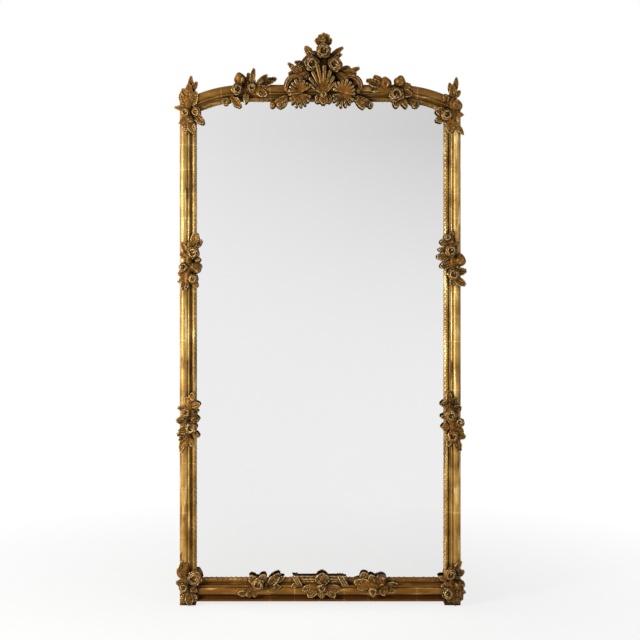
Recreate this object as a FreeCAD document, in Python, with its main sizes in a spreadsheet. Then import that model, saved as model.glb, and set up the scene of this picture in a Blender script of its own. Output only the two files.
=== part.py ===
import FreeCAD, Part
import math
import os
import Sketcher
from functools import lru_cache

Vector = FreeCAD.Vector

doc = FreeCAD.newDocument("overmantel_mirror")
sheet = doc.addObject("Spreadsheet::Sheet", "sizes")


class Size:
    """A length that knows its value and the expression that ties it to the sheet."""

    def __init__(self, value, text):
        self.value = float(value)
        self.text = text

    def __add__(self, other):
        other = as_size(other)
        return Size(self.value + other.value, f"({self.text} + {other.text})")

    def __radd__(self, other):
        return as_size(other) + self

    def __sub__(self, other):
        other = as_size(other)
        return Size(self.value - other.value, f"({self.text} - {other.text})")

    def __rsub__(self, other):
        return as_size(other) - self

    def __mul__(self, other):
        other = as_size(other)
        return Size(self.value * other.value, f"({self.text} * {other.text})")

    def __rmul__(self, other):
        return as_size(other) * self

    def __truediv__(self, other):
        other = as_size(other)
        return Size(self.value / other.value, f"({self.text} / {other.text})")

    def __neg__(self):
        return Size(-self.value, f"(0 - {self.text})")

    def __float__(self):
        return self.value


def as_size(number):
    if isinstance(number, Size):
        return number
    return Size(number, f"({number})")


def root(size):
    return Size(math.sqrt(size.value), f"sqrt({size.text})")


def size(alias, value):
    """Writes one driving dimension into the sheet and hands it back as a Size."""
    row = size.row
    size.row = row + 1
    sheet.set(f"A{row}", alias.replace("_", " "))
    sheet.set(f"B{row}", str(value))
    sheet.setAlias(f"B{row}", alias)
    return Size(value, f"sizes.{alias}")


size.row = 1

# Frame
frame_width = size("frame_width", 884)
frame_height = size("frame_height", 1605)
arch_flat_half = size("arch_flat_half", 236)
arch_shoulder_radius = size("arch_shoulder_radius", 400)

# Front moulding
torus_width = size("torus_width", 25)
bead_width = size("bead_width", 7)
hollow_width = size("hollow_width", 8)
edge_height = size("edge_height", 10)
valley_height = size("valley_height", 18)

# Sight slip
slip_width = size("slip_width", 13)
slip_height = size("slip_height", 9)
slip_crown_width = size("slip_crown_width", 8)
slip_lip = size("slip_lip", 3)

# Back frame
carcass_inset = size("carcass_inset", 2)
carcass_width = size("carcass_width", 40)
carcass_thick = size("carcass_thick", 30)
board_rebate = size("board_rebate", 12)
board_recess = size("board_recess", 10)
board_thick = size("board_thick", 9)
board_gap = size("board_gap", 0.6)
key_reach = size("key_reach", 34)
key_thick = size("key_thick", 4)
key_depth = size("key_depth", 22)
batten_height = size("batten_height", 60)

# Base
base_height = size("base_height", 20)
base_depth = size("base_depth", 46)
base_lip = size("base_lip", 6)
base_cove = size("base_cove", 12)
foot_width = size("foot_width", 50)
foot_drop = size("foot_drop", 14)

# Glass
glass_thick = size("glass_thick", 5)
glass_stand = size("glass_stand", 4)
glass_clearance = size("glass_clearance", 2)
pad_length = size("pad_length", 40)
pad_place = size("pad_place", 250)
pad_gap = size("pad_gap", 1)
block_length = size("block_length", 40)
block_width = size("block_width", 8)
block_pitch = size("block_pitch", 240)
block_side_place = size("block_side_place", 130)

# Crest support
plate_thick = size("plate_thick", 12)
plate_front = size("plate_front", 24)
plate_half = size("plate_half", 76)
plate_shoulder = size("plate_shoulder", 46)
plate_top_half = size("plate_top_half", 24)
plate_height = size("plate_height", 112)
crest_stand = size("crest_stand", 24)
brace_half = size("brace_half", 16)
brace_thick = size("brace_thick", 4)
brace_rise = size("brace_rise", 88)
brace_foot = size("brace_foot", 26)

# Hangers
hanger_height = size("hanger_height", 450)
hanger_place = size("hanger_place", 21)
strap_width = size("strap_width", 18)
strap_length = size("strap_length", 56)
strap_thick = size("strap_thick", 2)
knuckle_radius = size("knuckle_radius", 4.4)
knuckle_length = size("knuckle_length", 12)
ring_wire = size("ring_wire", 2)
ring_half_width = size("ring_half_width", 11)
ring_corner = size("ring_corner", 4)
ring_leg = size("ring_leg", 6)
running_clearance = size("running_clearance", 0.08)
strip_gap_above = size("strip_gap_above", 30)
strip_gap_below = size("strip_gap_below", 62)

# Screws
screw_radius = size("screw_radius", 1.8)
screw_head = size("screw_head", 3.6)
screw_length = size("screw_length", 16)
screw_sink = size("screw_sink", 0.3)
screw_clearance = size("screw_clearance", 0.1)
strip_screw_place = size("strip_screw_place", 60)
hanger_screw_low = size("hanger_screw_low", 8)
hanger_screw_high = size("hanger_screw_high", 20)
brace_screw_low = size("brace_screw_low", 10)
brace_screw_middle = size("brace_screw_middle", 40)
brace_screw_high = size("brace_screw_high", 12)
brace_screw_length = size("brace_screw_length", 14)
batten_screw_inner = size("batten_screw_inner", 132)
batten_screw_outer = size("batten_screw_outer", 332)
board_screw_low = size("board_screw_low", 40)
board_screw_high = size("board_screw_high", 140)

# Ornament
ornament_bed = size("ornament_bed", 59)
bed_radius = size("bed_radius", 14)
leaf_thick = size("leaf_thick", 5)
leaf_root = size("leaf_root", 7)
leaf_long = size("leaf_long", 62)
leaf_middle = size("leaf_middle", 50)
leaf_short = size("leaf_short", 38)
leaf_tiny = size("leaf_tiny", 28)
leaf_narrow = size("leaf_narrow", 18)
leaf_broad = size("leaf_broad", 26)
rose_large = size("rose_large", 25)
rose_middle = size("rose_middle", 20)
rose_small = size("rose_small", 16)
rose_tiny = size("rose_tiny", 12)
bud_large = size("bud_large", 17)
bud_middle = size("bud_middle", 13)
bud_small = size("bud_small", 9)
palmette_reach = size("palmette_reach", 104)
shell_reach = size("shell_reach", 45)
scroll_bend = size("scroll_bend", 37)
scroll_wire = size("scroll_wire", 8)
curl_bend = size("curl_bend", 9)
curl_wire = size("curl_wire", 5)
stem_radius = size("stem_radius", 7)
ribbon_half = size("ribbon_half", 78)
ribbon_radius = size("ribbon_radius", 9)
stile_cluster_place = size("stile_cluster_place", 248)
spray_place = size("spray_place", 221)
base_spray_left = size("base_spray_left", 196)
base_spray_right = size("base_spray_right", 176)
spray_drop = size("spray_drop", 12)
corner_drop = size("corner_drop", 81)
low_corner_rise = size("low_corner_rise", 34)
rail_rise = size("rail_rise", 38)

doc.recompute()

# Lines worked out from the driving dimensions
half_width = frame_width / 2
crown = frame_height / 2
foot_line = -crown
moulding_width = torus_width + bead_width + hollow_width
face_width = moulding_width + slip_width
shoulder_level = crown - arch_shoulder_radius
carcass_inner = carcass_inset + carcass_width
rebate_line = carcass_inner - board_rebate
board_front = board_recess + board_thick
glass_front = carcass_thick + glass_stand
glass_rear = glass_front - glass_thick
glass_edge = carcass_inner + glass_clearance
BOARDS = 7


def bind(obj, prop, amount):
    obj.setExpression(prop, as_size(amount).text)


def named_body(name):
    body = doc.addObject("PartDesign::Body", name)
    body.Label = name
    return body


def sketch_on(body, plane, name, along=0, across=0, normal=0):
    """A sketch on one of the body's own planes, moved by the three given lengths."""
    sketch = body.newObject("Sketcher::SketchObject", f"{body.Name}_{name}")
    support = [item for item in body.Origin.OriginFeatures if item.Role == plane][0]
    sketch.AttachmentSupport = (support, [""])
    sketch.MapMode = "FlatFace"
    for axis, amount in (("x", along), ("y", across), ("z", normal)):
        if as_size(amount).value != 0:
            bind(sketch, f"AttachmentOffset.Base.{axis}", amount)
    return sketch


def arc_centre(start, end, radius):
    """Centre of the short arc between two points, to the left of the run when radius is positive."""
    run = end - start
    half = run.Length / 2
    reach = math.sqrt(max(radius * radius - half * half, 0))
    left = Vector(-run.y, run.x, 0).normalize()
    return start + run * 0.5 + left * math.copysign(reach, radius)


def draw(sketch, points):
    """Draws a closed outline. (x, y) is a straight run to that point; (x, y, radius, turn) an arc,
    its centre to the left of the run when turn is 1 and to the right when turn is -1."""
    spots = [Vector(float(point[0]), float(point[1]), 0) for point in points]
    ends = []
    for index, point in enumerate(points):
        start = spots[index - 1]
        end = spots[index]
        if len(point) == 2:
            sketch.addGeometry(Part.LineSegment(start, end))
            ends.append((1, 2))
            continue
        radius = float(point[2])
        centre = arc_centre(start, end, math.copysign(radius, point[3]))
        circle = Part.Circle(centre, Vector(0, 0, 1), radius)
        first = math.atan2(start.y - centre.y, start.x - centre.x)
        last = math.atan2(end.y - centre.y, end.x - centre.x)
        if point[3] > 0:
            sketch.addGeometry(Part.ArcOfCircle(circle, first, last))
            ends.append((1, 2))
        else:
            sketch.addGeometry(Part.ArcOfCircle(circle, last, first))
            ends.append((2, 1))
    count = len(points)
    for index, point in enumerate(points):
        follow = (index + 1) % count
        meet = Sketcher.Constraint("Coincident", index, ends[index][1], follow, ends[follow][0])
        sketch.addConstraint(meet)
    for index, point in enumerate(points):
        end = ends[index][1]
        fix(sketch, "DistanceX", f"x{index}", index, end, point[0])
        fix(sketch, "DistanceY", f"y{index}", index, end, point[1])
        if len(point) == 4:
            place = sketch.addConstraint(Sketcher.Constraint("Radius", index, float(point[2])))
            name_and_bind(sketch, place, f"r{index}", point[2])


def fix(sketch, kind, name, index, end, amount):
    amount = as_size(amount)
    if amount.value == 0:
        axis = -2 if kind == "DistanceX" else -1
        sketch.addConstraint(Sketcher.Constraint("PointOnObject", index, end, axis))
        return
    place = sketch.addConstraint(Sketcher.Constraint(kind, -1, 1, index, end, amount.value))
    name_and_bind(sketch, place, name, amount)


def name_and_bind(sketch, place, name, amount):
    sketch.renameConstraint(place, name)
    bind(sketch, f"Constraints.{name}", amount)


def pad(body, sketch, length):
    feature = body.newObject("PartDesign::Pad", f"{sketch.Name}_pad")
    feature.Profile = sketch
    bind(feature, "Length", length)
    body.Tip = feature
    sketch.Visibility = False
    return feature


def pocket_through(body, sketch, length):
    """Cuts the outline out to both sides of the sketch."""
    feature = body.newObject("PartDesign::Pocket", f"{sketch.Name}_pocket")
    feature.Profile = sketch
    feature.SideType = "Symmetric"
    bind(feature, "Length", length)
    body.Tip = feature
    sketch.Visibility = False
    return feature


def pocket_forward(body, sketch, length):
    """Cuts from the back plane towards the front."""
    feature = body.newObject("PartDesign::Pocket", f"{sketch.Name}_pocket")
    feature.Profile = sketch
    feature.Reversed = True
    bind(feature, "Length", length)
    body.Tip = feature
    sketch.Visibility = False
    return feature


def bow(run, rise, fullness):
    """Radius of an arc over a given run and rise; a fullness of 1 would be half a circle."""
    return root(run * run + as_size(rise) * rise) * fullness / 2


def moulding_profile():
    """(inward, outward) points of the front moulding, arcs with their radius and side."""
    back = carcass_thick
    bead_end = torus_width + bead_width
    torus_radius = bow(torus_width, valley_height - edge_height, 1.03)
    return [
        (as_size(0), back),
        (as_size(0), back + edge_height),
        (torus_width, back + valley_height, torus_radius, -1),
        (bead_end, back + valley_height, bow(bead_width, 0, 1.08), -1),
        (moulding_width, back + valley_height - hollow_width, hollow_width, 1),
        (moulding_width, back),
    ]


def slip_profile():
    top = glass_front + slip_height
    return [
        (moulding_width, glass_front),
        (moulding_width, top),
        (moulding_width + slip_crown_width, top, bow(slip_crown_width, 0, 1.15), -1),
        (face_width, glass_front + slip_lip),
        (face_width, glass_front),
    ]


def carcass_profile():
    return [
        (carcass_inset, board_recess),
        (carcass_inset, carcass_thick),
        (carcass_inner, carcass_thick),
        (carcass_inner, board_front),
        (rebate_line, board_front),
        (rebate_line, board_recess),
    ]


def mitre_points():
    """Outer and inner end of the mitre at the right-hand top corner."""
    reach = half_width - arch_flat_half
    outer_rise = root(arch_shoulder_radius * arch_shoulder_radius - reach * reach)
    inner_radius = arch_shoulder_radius - face_width
    inner_reach = reach - face_width
    inner_rise = root(inner_radius * inner_radius - inner_reach * inner_reach)
    return (half_width, shoulder_level + outer_rise), (half_width - face_width, shoulder_level + inner_rise)


def cut_mitre(body, name, side, outer, inner, shift):
    """Takes away what lies beyond a mitre line, up when shift is positive and down when negative."""
    run_x = outer[0] - inner[0]
    run_z = outer[1] - inner[1]
    far_out = (outer[0] + run_x, outer[1] + run_z)
    far_in = (inner[0] - run_x, inner[1] - run_z)
    lift = face_width * shift
    sketch = sketch_on(body, "XZ_Plane", name)
    draw(sketch, [
        (side * far_in[0], far_in[1]),
        (side * far_out[0], far_out[1]),
        (side * far_out[0], far_out[1] + lift),
        (side * far_in[0], far_in[1] + lift),
    ])
    pocket_through(body, sketch, carcass_thick * 6)


def bottom_mitre():
    return (half_width, foot_line), (half_width - face_width, foot_line + face_width)


def stile(name, side, profile):
    """An upright with the given profile; side is -1 for the left one and 1 for the right one."""
    body = named_body(name)
    outline = sketch_on(body, "XY_Plane", "profile", normal=foot_line - face_width)
    points = []
    for point in profile:
        place = (side * (half_width - point[0]), -point[1])
        if len(point) == 4:
            place = place + (point[2], side * point[3])
        points.append(place)
    draw(outline, points)
    pad(body, outline, frame_height + face_width * 2)
    outer, inner = mitre_points()
    cut_mitre(body, "top_mitre", side, outer, inner, 4)
    outer, inner = bottom_mitre()
    cut_mitre(body, "bottom_mitre", side, outer, inner, -4)
    return body


def bottom_rail(name, profile):
    body = named_body(name)
    outline = sketch_on(body, "YZ_Plane", "profile", normal=-half_width - face_width)
    points = []
    for point in profile:
        place = (-point[1], foot_line + point[0])
        if len(point) == 4:
            place = place + (point[2], point[3])
        points.append(place)
    draw(outline, points)
    pad(body, outline, frame_width + face_width * 2)
    outer, inner = bottom_mitre()
    cut_mitre(body, "right_mitre", 1, outer, inner, 4)
    cut_mitre(body, "left_mitre", -1, outer, inner, 4)
    return body


def arch_rail(name, profile):
    """The top rail: a straight middle and two shoulders turned about their own centres."""
    body = named_body(name)
    middle = sketch_on(body, "YZ_Plane", "middle", normal=-arch_flat_half)
    points = []
    for point in profile:
        place = (-point[1], crown - point[0])
        if len(point) == 4:
            place = place + (point[2], -point[3])
        points.append(place)
    draw(middle, points)
    pad(body, middle, arch_flat_half * 2)
    sweep = Size(0, f"(asin({((half_width - arch_flat_half) / arch_shoulder_radius).text}) + 8 deg)")
    for side, end in ((1, "right"), (-1, "left")):
        outline = sketch_on(body, "YZ_Plane", f"{end}_shoulder", across=shoulder_level,
                            normal=side * arch_flat_half)
        points = []
        for point in profile:
            place = (-point[1], arch_shoulder_radius - point[0])
            if len(point) == 4:
                place = place + (point[2], -point[3])
            points.append(place)
        draw(outline, points)
        turn = body.newObject("PartDesign::Revolution", f"{name}_{end}_turn")
        turn.Profile = outline
        turn.ReferenceAxis = (outline, ["H_Axis"])
        turn.Reversed = side < 0
        turn.setExpression("Angle", sweep.text)
        body.Tip = turn
        outline.Visibility = False
    outer, inner = mitre_points()
    cut_mitre(body, "right_mitre", 1, outer, inner, -4)
    cut_mitre(body, "left_mitre", -1, outer, inner, -4)
    return body


def plate(name, points, rear, thick):
    """A flat piece drawn in the front view and padded towards the front."""
    body = named_body(name)
    outline = sketch_on(body, "XZ_Plane", "outline", normal=rear)
    draw(outline, points)
    pad(body, outline, thick)
    return body


def arched_points(inset, low, high_side):
    """Outline inside the arch at the given inset, from the level low; high_side is where its arcs start."""
    radius = arch_shoulder_radius - inset
    side = half_width - inset
    return [
        (-side, low),
        (side, low),
        (side, high_side),
        (arch_flat_half, crown - inset, radius, 1),
        (-arch_flat_half, crown - inset),
        (-side, high_side, radius, 1),
    ]


def arch_side_level(inset):
    reach = half_width - inset - arch_flat_half
    radius = arch_shoulder_radius - inset
    return shoulder_level + root(radius * radius - reach * reach)


def box(name, x, front, z, width, depth, height):
    """A block from its left, front and lower edges; front is the distance from the wall plane."""
    block = doc.addObject("Part::Box", name)
    bind(block, "Length", width)
    bind(block, "Width", depth)
    bind(block, "Height", height)
    bind(block, "Placement.Base.x", x)
    bind(block, "Placement.Base.y", -as_size(front))
    bind(block, "Placement.Base.z", z)
    return block


def group(name, members):
    joined = doc.addObject("Part::Compound", name)
    joined.Links = members
    joined.Label = name
    return joined


def cut_from(name, base, tools):
    """The base with the tools taken out of it, as the named sub-part."""
    cutter = tools[0]
    if len(tools) > 1:
        cutter = doc.addObject("Part::Compound", f"{name}_cutters")
        cutter.Links = tools
    part = doc.addObject("Part::Cut", name)
    part.Base = base
    part.Tool = cutter
    part.Label = name
    return part


def solid_feature(name, shape):
    feature = doc.addObject("Part::Feature", name)
    feature.Shape = shape
    feature.Placement = FreeCAD.Placement()
    feature.Label = name
    return feature


def screw_shape(x, rear, z, length, spare):
    """One countersunk screw with its head at the distance rear from the wall, driven towards the front."""
    radius = float(screw_radius) + spare
    head = float(screw_head) + spare
    sink = float(rear) + float(screw_sink)
    top = float(rear) if spare else sink
    depth = head - radius
    end = float(rear) + float(length) + spare
    outline = [Vector(0, -top, 0), Vector(head, -top, 0)]
    if spare:
        outline.append(Vector(head, -sink, 0))
    outline += [
        Vector(radius, -sink - depth, 0),
        Vector(radius, -end, 0),
        Vector(0, -end, 0),
        Vector(0, -top, 0),
    ]
    face = Part.Face(Part.makePolygon(outline))
    turned = face.revolve(Vector(0, 0, 0), Vector(0, 1, 0), 360)
    turned.translate(Vector(float(x), 0, float(z)))
    return turned


def screws(name, spots, rear, length):
    """A group of equal screws and the drill shape that clears them."""
    solids = [screw_shape(x, rear, z, length, 0) for x, z in spots]
    drills = [screw_shape(x, rear, z, length, float(screw_clearance)) for x, z in spots]
    driven = solid_feature(name, Part.makeCompound(solids))
    drilled = solid_feature(f"{name}_drill", Part.makeCompound(drills))
    return driven, drilled


def corner_key(side, corner, up, over):
    """One thin triangular key, from its corner and the two other points."""
    rear = -float(key_depth)
    spots = [Vector(side * float(x), rear, float(z)) for x, z in (corner, up, over, corner)]
    return Part.Face(Part.makePolygon(spots)).extrude(Vector(0, -float(key_thick), 0))


def corner_keys():
    outer = half_width - carcass_inset
    low = foot_line + carcass_inset
    radius = arch_shoulder_radius - carcass_inset
    reach = outer - arch_flat_half
    high = shoulder_level + root(radius * radius - reach * reach)
    over = reach - key_reach
    over_level = shoulder_level + root(radius * radius - over * over)
    solids = []
    for side in (-1, 1):
        solids.append(corner_key(side, (outer, low), (outer, low + key_reach), (outer - key_reach, low)))
        ends = (outer, high - key_reach), (outer - key_reach, over_level)
        solids.append(corner_key(side, (outer, high), *ends))
    return solid_feature("corner_keys", Part.makeCompound(solids))


# Front mouldings and sight slips
moulding_left = stile("moulding_left", -1, moulding_profile())
moulding_right = stile("moulding_right", 1, moulding_profile())
moulding_bottom = bottom_rail("moulding_bottom", moulding_profile())
moulding_top = arch_rail("moulding_top", moulding_profile())
slip_left = stile("sight_slip_left", -1, slip_profile())
slip_right = stile("sight_slip_right", 1, slip_profile())
slip_bottom = bottom_rail("sight_slip_bottom", slip_profile())
slip_top = arch_rail("sight_slip_top", slip_profile())

# Back frame blanks, drilled and slotted further down
blank_left = stile("carcass_left_blank", -1, carcass_profile())
blank_right = stile("carcass_right_blank", 1, carcass_profile())
blank_bottom = bottom_rail("carcass_bottom_blank", carcass_profile())
blank_top = arch_rail("carcass_top_blank", carcass_profile())

brace_slot = sketch_on(blank_top, "XZ_Plane", "brace_slot")
draw(brace_slot, [
    (-brace_half, crown - rebate_line),
    (brace_half, crown - rebate_line),
    (brace_half, crown),
    (-brace_half, crown),
])
pocket_forward(blank_top, brace_slot, plate_front - plate_thick)

# Glass and what holds it
glass_outline = arched_points(glass_edge, foot_line + glass_edge, arch_side_level(glass_edge))
mirror_glass = plate("mirror_glass", glass_outline, glass_rear, glass_thick)

pads = []
for side in (-1, 1):
    left = side * pad_place - pad_length / 2
    pads.append(box(f"pad_{len(pads)}", left, glass_front, foot_line + carcass_inner,
                    pad_length, glass_front - board_front - pad_gap, glass_clearance))
setting_pads = group("setting_pads", pads)

blocks = []
for side in (-1, 1):
    edge = side * (half_width - carcass_inner)
    left = edge if side < 0 else edge - block_width
    for step in (-2.5, -1.5, -0.5, 0.5, 1.5, 2.5):
        low = block_pitch * step - block_length / 2
        blocks.append(box(f"block_{len(blocks)}", left, glass_rear, low,
                          block_width, glass_rear - board_front, block_length))
    left = side * block_side_place - block_length / 2
    for low in (foot_line + carcass_inner, crown - carcass_inner - block_width):
        blocks.append(box(f"block_{len(blocks)}", left, glass_rear, low,
                          block_length, glass_rear - board_front, block_width))
glazing_blocks = group("glazing_blocks", blocks)

# Backboards
board_side = half_width - rebate_line - board_gap
board_low = foot_line + rebate_line + board_gap
board_pitch = (crown - rebate_line - board_low) / BOARDS
board_blanks = []
board_screw_spots = []
screw_line = half_width - rebate_line - board_rebate / 2
for number in range(1, BOARDS + 1):
    low = board_low + board_pitch * (number - 1)
    high = low + board_pitch - board_gap
    inset = rebate_line + board_gap
    if number < BOARDS:
        outline = [(-board_side, low), (board_side, low), (board_side, high), (-board_side, high)]
    else:
        outline = arched_points(inset, low, arch_side_level(inset))
    board_blanks.append(plate(f"backboard_{number}_blank", outline, board_recess, board_thick))
    for side in (-1, 1):
        for rise in (board_screw_low, board_screw_high):
            board_screw_spots.append((side * screw_line, low + rise))

cross_blank = plate("cross_batten_blank", [
    (-board_side, -batten_height / 2),
    (board_side, -batten_height / 2),
    (board_side, batten_height / 2),
    (-board_side, batten_height / 2),
], as_size(0), board_recess)

# Strips behind the stiles, left open where the hangers sit
strip_inner = half_width - rebate_line
strip_outer = half_width - carcass_inset
strip_runs = [
    (foot_line + carcass_inset, hanger_height - strip_gap_below),
    (hanger_height + strip_gap_above, arch_side_level(carcass_inset)),
]
strips = []
strip_spots = []
for side in (-1, 1):
    left = strip_inner if side > 0 else -strip_outer
    for low, high in strip_runs:
        strips.append(box(f"strip_{len(strips)}", left, board_recess, low, strip_outer - strip_inner,
                          board_recess, high - low))
        for level in (low + strip_screw_place, high - strip_screw_place):
            strip_spots.append((side * (strip_inner + strip_outer) / 2, level))
strip_blank = group("wall_strips_blank", strips)

# Crest plate and brace
plate_foot = crown - carcass_inset
plate_blank = plate("crest_backplate_blank", [
    (-plate_half, plate_foot),
    (plate_half, plate_foot),
    (plate_half, plate_foot + plate_shoulder),
    (plate_top_half, plate_foot + plate_height, plate_height, 1),
    (-plate_top_half, plate_foot + plate_height),
    (-plate_half, plate_foot + plate_shoulder, plate_height, 1),
], plate_front - plate_thick, plate_thick)

brace_rear = plate_front - plate_thick - brace_thick
brace_blank = plate("crest_brace_blank", [
    (-brace_half, crown - brace_foot),
    (brace_half, crown - brace_foot),
    (brace_half, crown + brace_rise),
    (-brace_half, crown + brace_rise),
], brace_rear, brace_thick)

# Base rail and feet
base_rail = named_body("base_rail")
base_outline = sketch_on(base_rail, "YZ_Plane", "profile", normal=-half_width + foot_width)
draw(base_outline, [
    (as_size(0), foot_line),
    (as_size(0), foot_line - base_height),
    (-base_depth, foot_line - base_height),
    (-base_depth, foot_line - base_height + base_lip),
    (-base_depth + base_cove, foot_line, bow(base_cove, base_height - base_lip, 2), 1),
])
pad(base_rail, base_outline, frame_width - foot_width * 2)

for side, name in ((-1, "foot_left"), (1, "foot_right")):
    inner_side = side * (half_width - foot_width)
    plate(name, [
        (inner_side, foot_line - base_height - foot_drop),
        (side * half_width, foot_line - base_height - foot_drop),
        (side * half_width, foot_line),
        (inner_side, foot_line),
    ], as_size(0), base_depth - base_cove / 2)

# Hangers: a strap with a rolled knuckle, and a ring whose straight bar turns in it
pivot_front = board_recess - knuckle_radius


def cylinder_x(name, x, front, z, radius, length):
    part = doc.addObject("Part::Cylinder", name)
    bind(part, "Radius", radius)
    bind(part, "Height", length)
    part.Placement = FreeCAD.Placement(Vector(0, 0, 0), FreeCAD.Rotation(Vector(0, 1, 0), 90))
    bind(part, "Placement.Base.x", x - length / 2)
    bind(part, "Placement.Base.y", -front)
    bind(part, "Placement.Base.z", z)
    return part


def cylinder_z(name, x, front, z, radius, length):
    part = doc.addObject("Part::Cylinder", name)
    bind(part, "Radius", radius)
    bind(part, "Height", length)
    bind(part, "Placement.Base.x", x)
    bind(part, "Placement.Base.y", -front)
    bind(part, "Placement.Base.z", z)
    return part


def bent_wire(name, x, front, z, bend, start, sweep):
    """A round wire bent in the front view about (x, z), from the angle start over the angle sweep."""
    part = doc.addObject("Part::Torus", name)
    bind(part, "Radius1", bend)
    bind(part, "Radius2", ring_wire)
    part.Angle3 = sweep
    upright = FreeCAD.Rotation(Vector(1, 0, 0), 90)
    part.Placement = FreeCAD.Placement(Vector(0, 0, 0), upright * FreeCAD.Rotation(Vector(0, 0, 1), start))
    bind(part, "Placement.Base.x", x)
    bind(part, "Placement.Base.y", -front)
    bind(part, "Placement.Base.z", z)
    return part


def hanger(side, end):
    centre = side * (half_width - hanger_place)
    strap = box(f"strap_{end}", centre - strap_width / 2, board_recess, hanger_height - strap_length,
                strap_width, strap_thick, strap_length)
    knuckle = cylinder_x(f"knuckle_{end}", centre, pivot_front, hanger_height, knuckle_radius, knuckle_length)
    bore = cylinder_x(f"bore_{end}", centre, pivot_front, hanger_height, ring_wire + running_clearance,
                      strap_width * 2)
    rolled = doc.addObject("Part::MultiFuse", f"rolled_{end}")
    rolled.Shapes = [strap, knuckle]
    bar = cylinder_x(f"bar_{end}", centre, pivot_front, hanger_height, ring_wire,
                     (ring_half_width - ring_corner) * 2)
    legs_top = hanger_height - ring_corner
    legs_foot = legs_top - ring_leg
    pieces = [bar, bent_wire(f"bow_{end}", centre, pivot_front, legs_foot, ring_half_width, 180, 180)]
    for hand in (-1, 1):
        bend_x = centre + hand * (ring_half_width - ring_corner)
        start = 0 if hand > 0 else 90
        pieces.append(bent_wire(f"bend_{end}_{hand + 1}", bend_x, pivot_front,
                                legs_top, ring_corner, start, 90))
        pieces.append(cylinder_z(f"leg_{end}_{hand + 1}", centre + hand * ring_half_width, pivot_front,
                                 legs_foot, ring_wire, ring_leg))
    ring = doc.addObject("Part::MultiFuse", f"hanging_ring_{end}")
    ring.Shapes = pieces
    ring.Label = f"hanging_ring_{end}"
    return rolled, bore, ring


rolled_left, bore_left, ring_left = hanger(-1, "left")
rolled_right, bore_right, ring_right = hanger(1, "right")

doc.recompute()

# Fasteners and the drilling for them
hanger_spots = []
for side in (-1, 1):
    for rise in (hanger_screw_low, hanger_screw_high):
        hanger_spots.append((side * (half_width - hanger_place), hanger_height - strap_length + rise))
brace_spots = [
    (as_size(0), crown - brace_foot + brace_screw_low),
    (as_size(0), crown + brace_screw_middle),
    (as_size(0), crown + brace_rise - brace_screw_high),
]
batten_spots = []
for side in (-1, 1):
    for place in (batten_screw_inner, batten_screw_outer):
        batten_spots.append((side * place, as_size(0)))

backboard_screws, board_drill = screws("backboard_screws", board_screw_spots, board_recess, screw_length)
hanger_screws, hanger_drill = screws("hanger_screws", hanger_spots, board_recess - strap_thick, screw_length)
brace_screws, brace_drill = screws("brace_screws", brace_spots, brace_rear, brace_screw_length)
batten_screws, batten_drill = screws("batten_screws", batten_spots + strip_spots, as_size(0), screw_length)
keys = corner_keys()

carcass_left = cut_from("carcass_left", blank_left, [keys, board_drill, hanger_drill, batten_drill])
carcass_right = cut_from("carcass_right", blank_right, [keys, board_drill, hanger_drill, batten_drill])
carcass_bottom = cut_from("carcass_bottom", blank_bottom, [keys])
carcass_top = cut_from("carcass_top", blank_top, [keys, brace_drill])
crest_backplate = cut_from("crest_backplate", plate_blank, [brace_drill])
crest_brace = cut_from("crest_brace", brace_blank, [brace_drill])
cross_batten = cut_from("cross_batten", cross_blank, [batten_drill])
wall_strips = cut_from("wall_strips", strip_blank, [batten_drill])
hanger_left = cut_from("hanger_left", rolled_left, [bore_left, hanger_drill])
hanger_right = cut_from("hanger_right", rolled_right, [bore_right, hanger_drill])
boards = []
for number, blank in enumerate(board_blanks, 1):
    tools = [board_drill]
    if number == (BOARDS + 1) // 2:
        tools.append(batten_drill)
    boards.append(cut_from(f"backboard_{number}", blank, tools))

doc.recompute()

# Ornament shapes, each built about its own root with z outwards, then turned to the front
OUT = Vector(0, -1, 0)


def heading(angle):
    """Direction in the front view, counted from the right-hand side upwards."""
    return Vector(math.cos(math.radians(angle)), 0, math.sin(math.radians(angle)))


def set_down(shape, x, z, lift, angle, lean):
    """Lays local x along a heading, tipped outwards by lean, with local z outwards."""
    tip = math.radians(lean)
    ahead = heading(angle) * math.cos(tip) + OUT * math.sin(tip)
    up = OUT * math.cos(tip) - heading(angle) * math.sin(tip)
    turn = FreeCAD.Rotation(ahead, up.cross(ahead), up, "ZXY")
    shape.Placement = FreeCAD.Placement(Vector(x, -float(lift), z), turn)
    return shape


@lru_cache(None)
def leaf_blade(length, width, thick):
    """A pointed leaf with a folded midrib, bent over its length."""
    half = width / 2
    bend = length * 2.2
    reach = bend * math.sin(length / bend)
    fold = half * 0.45
    fringe = half + 1
    upper = [(-fringe, -fold), (0, 0), (fringe, -fold)]
    lower = [(fringe, -fold - thick), (0, -thick), (-fringe, -fold - thick)]
    chevron = upper + lower
    spots = [Vector(0, across, up) for across, up in chevron]
    profile = Part.Face(Part.makePolygon(spots + spots[:1]))
    blade = profile.revolve(Vector(0, 0, -bend), Vector(0, 1, 0), math.degrees(length / bend))
    stalk = half * 0.4
    low = Part.Arc(Vector(0, -stalk, 0), Vector(reach * 0.45, -half, 0), Vector(reach, 0, 0)).toShape()
    high = Part.Arc(Vector(reach, 0, 0), Vector(reach * 0.45, half, 0), Vector(0, stalk, 0)).toShape()
    foot = Part.makeLine(Vector(0, stalk, 0), Vector(0, -stalk, 0))
    prism = Part.Face(Part.Wire([low, high, foot])).extrude(Vector(0, 0, bend + thick))
    prism.translate(Vector(0, 0, -bend))
    return blade.common(prism)


def leaf(x, z, angle, length, width=leaf_narrow, lift=ornament_bed - 3, lean=12):
    """A leaf along a heading, its root sunk in the bed behind (x, z)."""
    blade = leaf_blade(float(length), float(width), float(leaf_thick)).copy()
    back = heading(angle) * float(leaf_root)
    return set_down(blade, x - back.x, z - back.z, lift, angle, lean)


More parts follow.
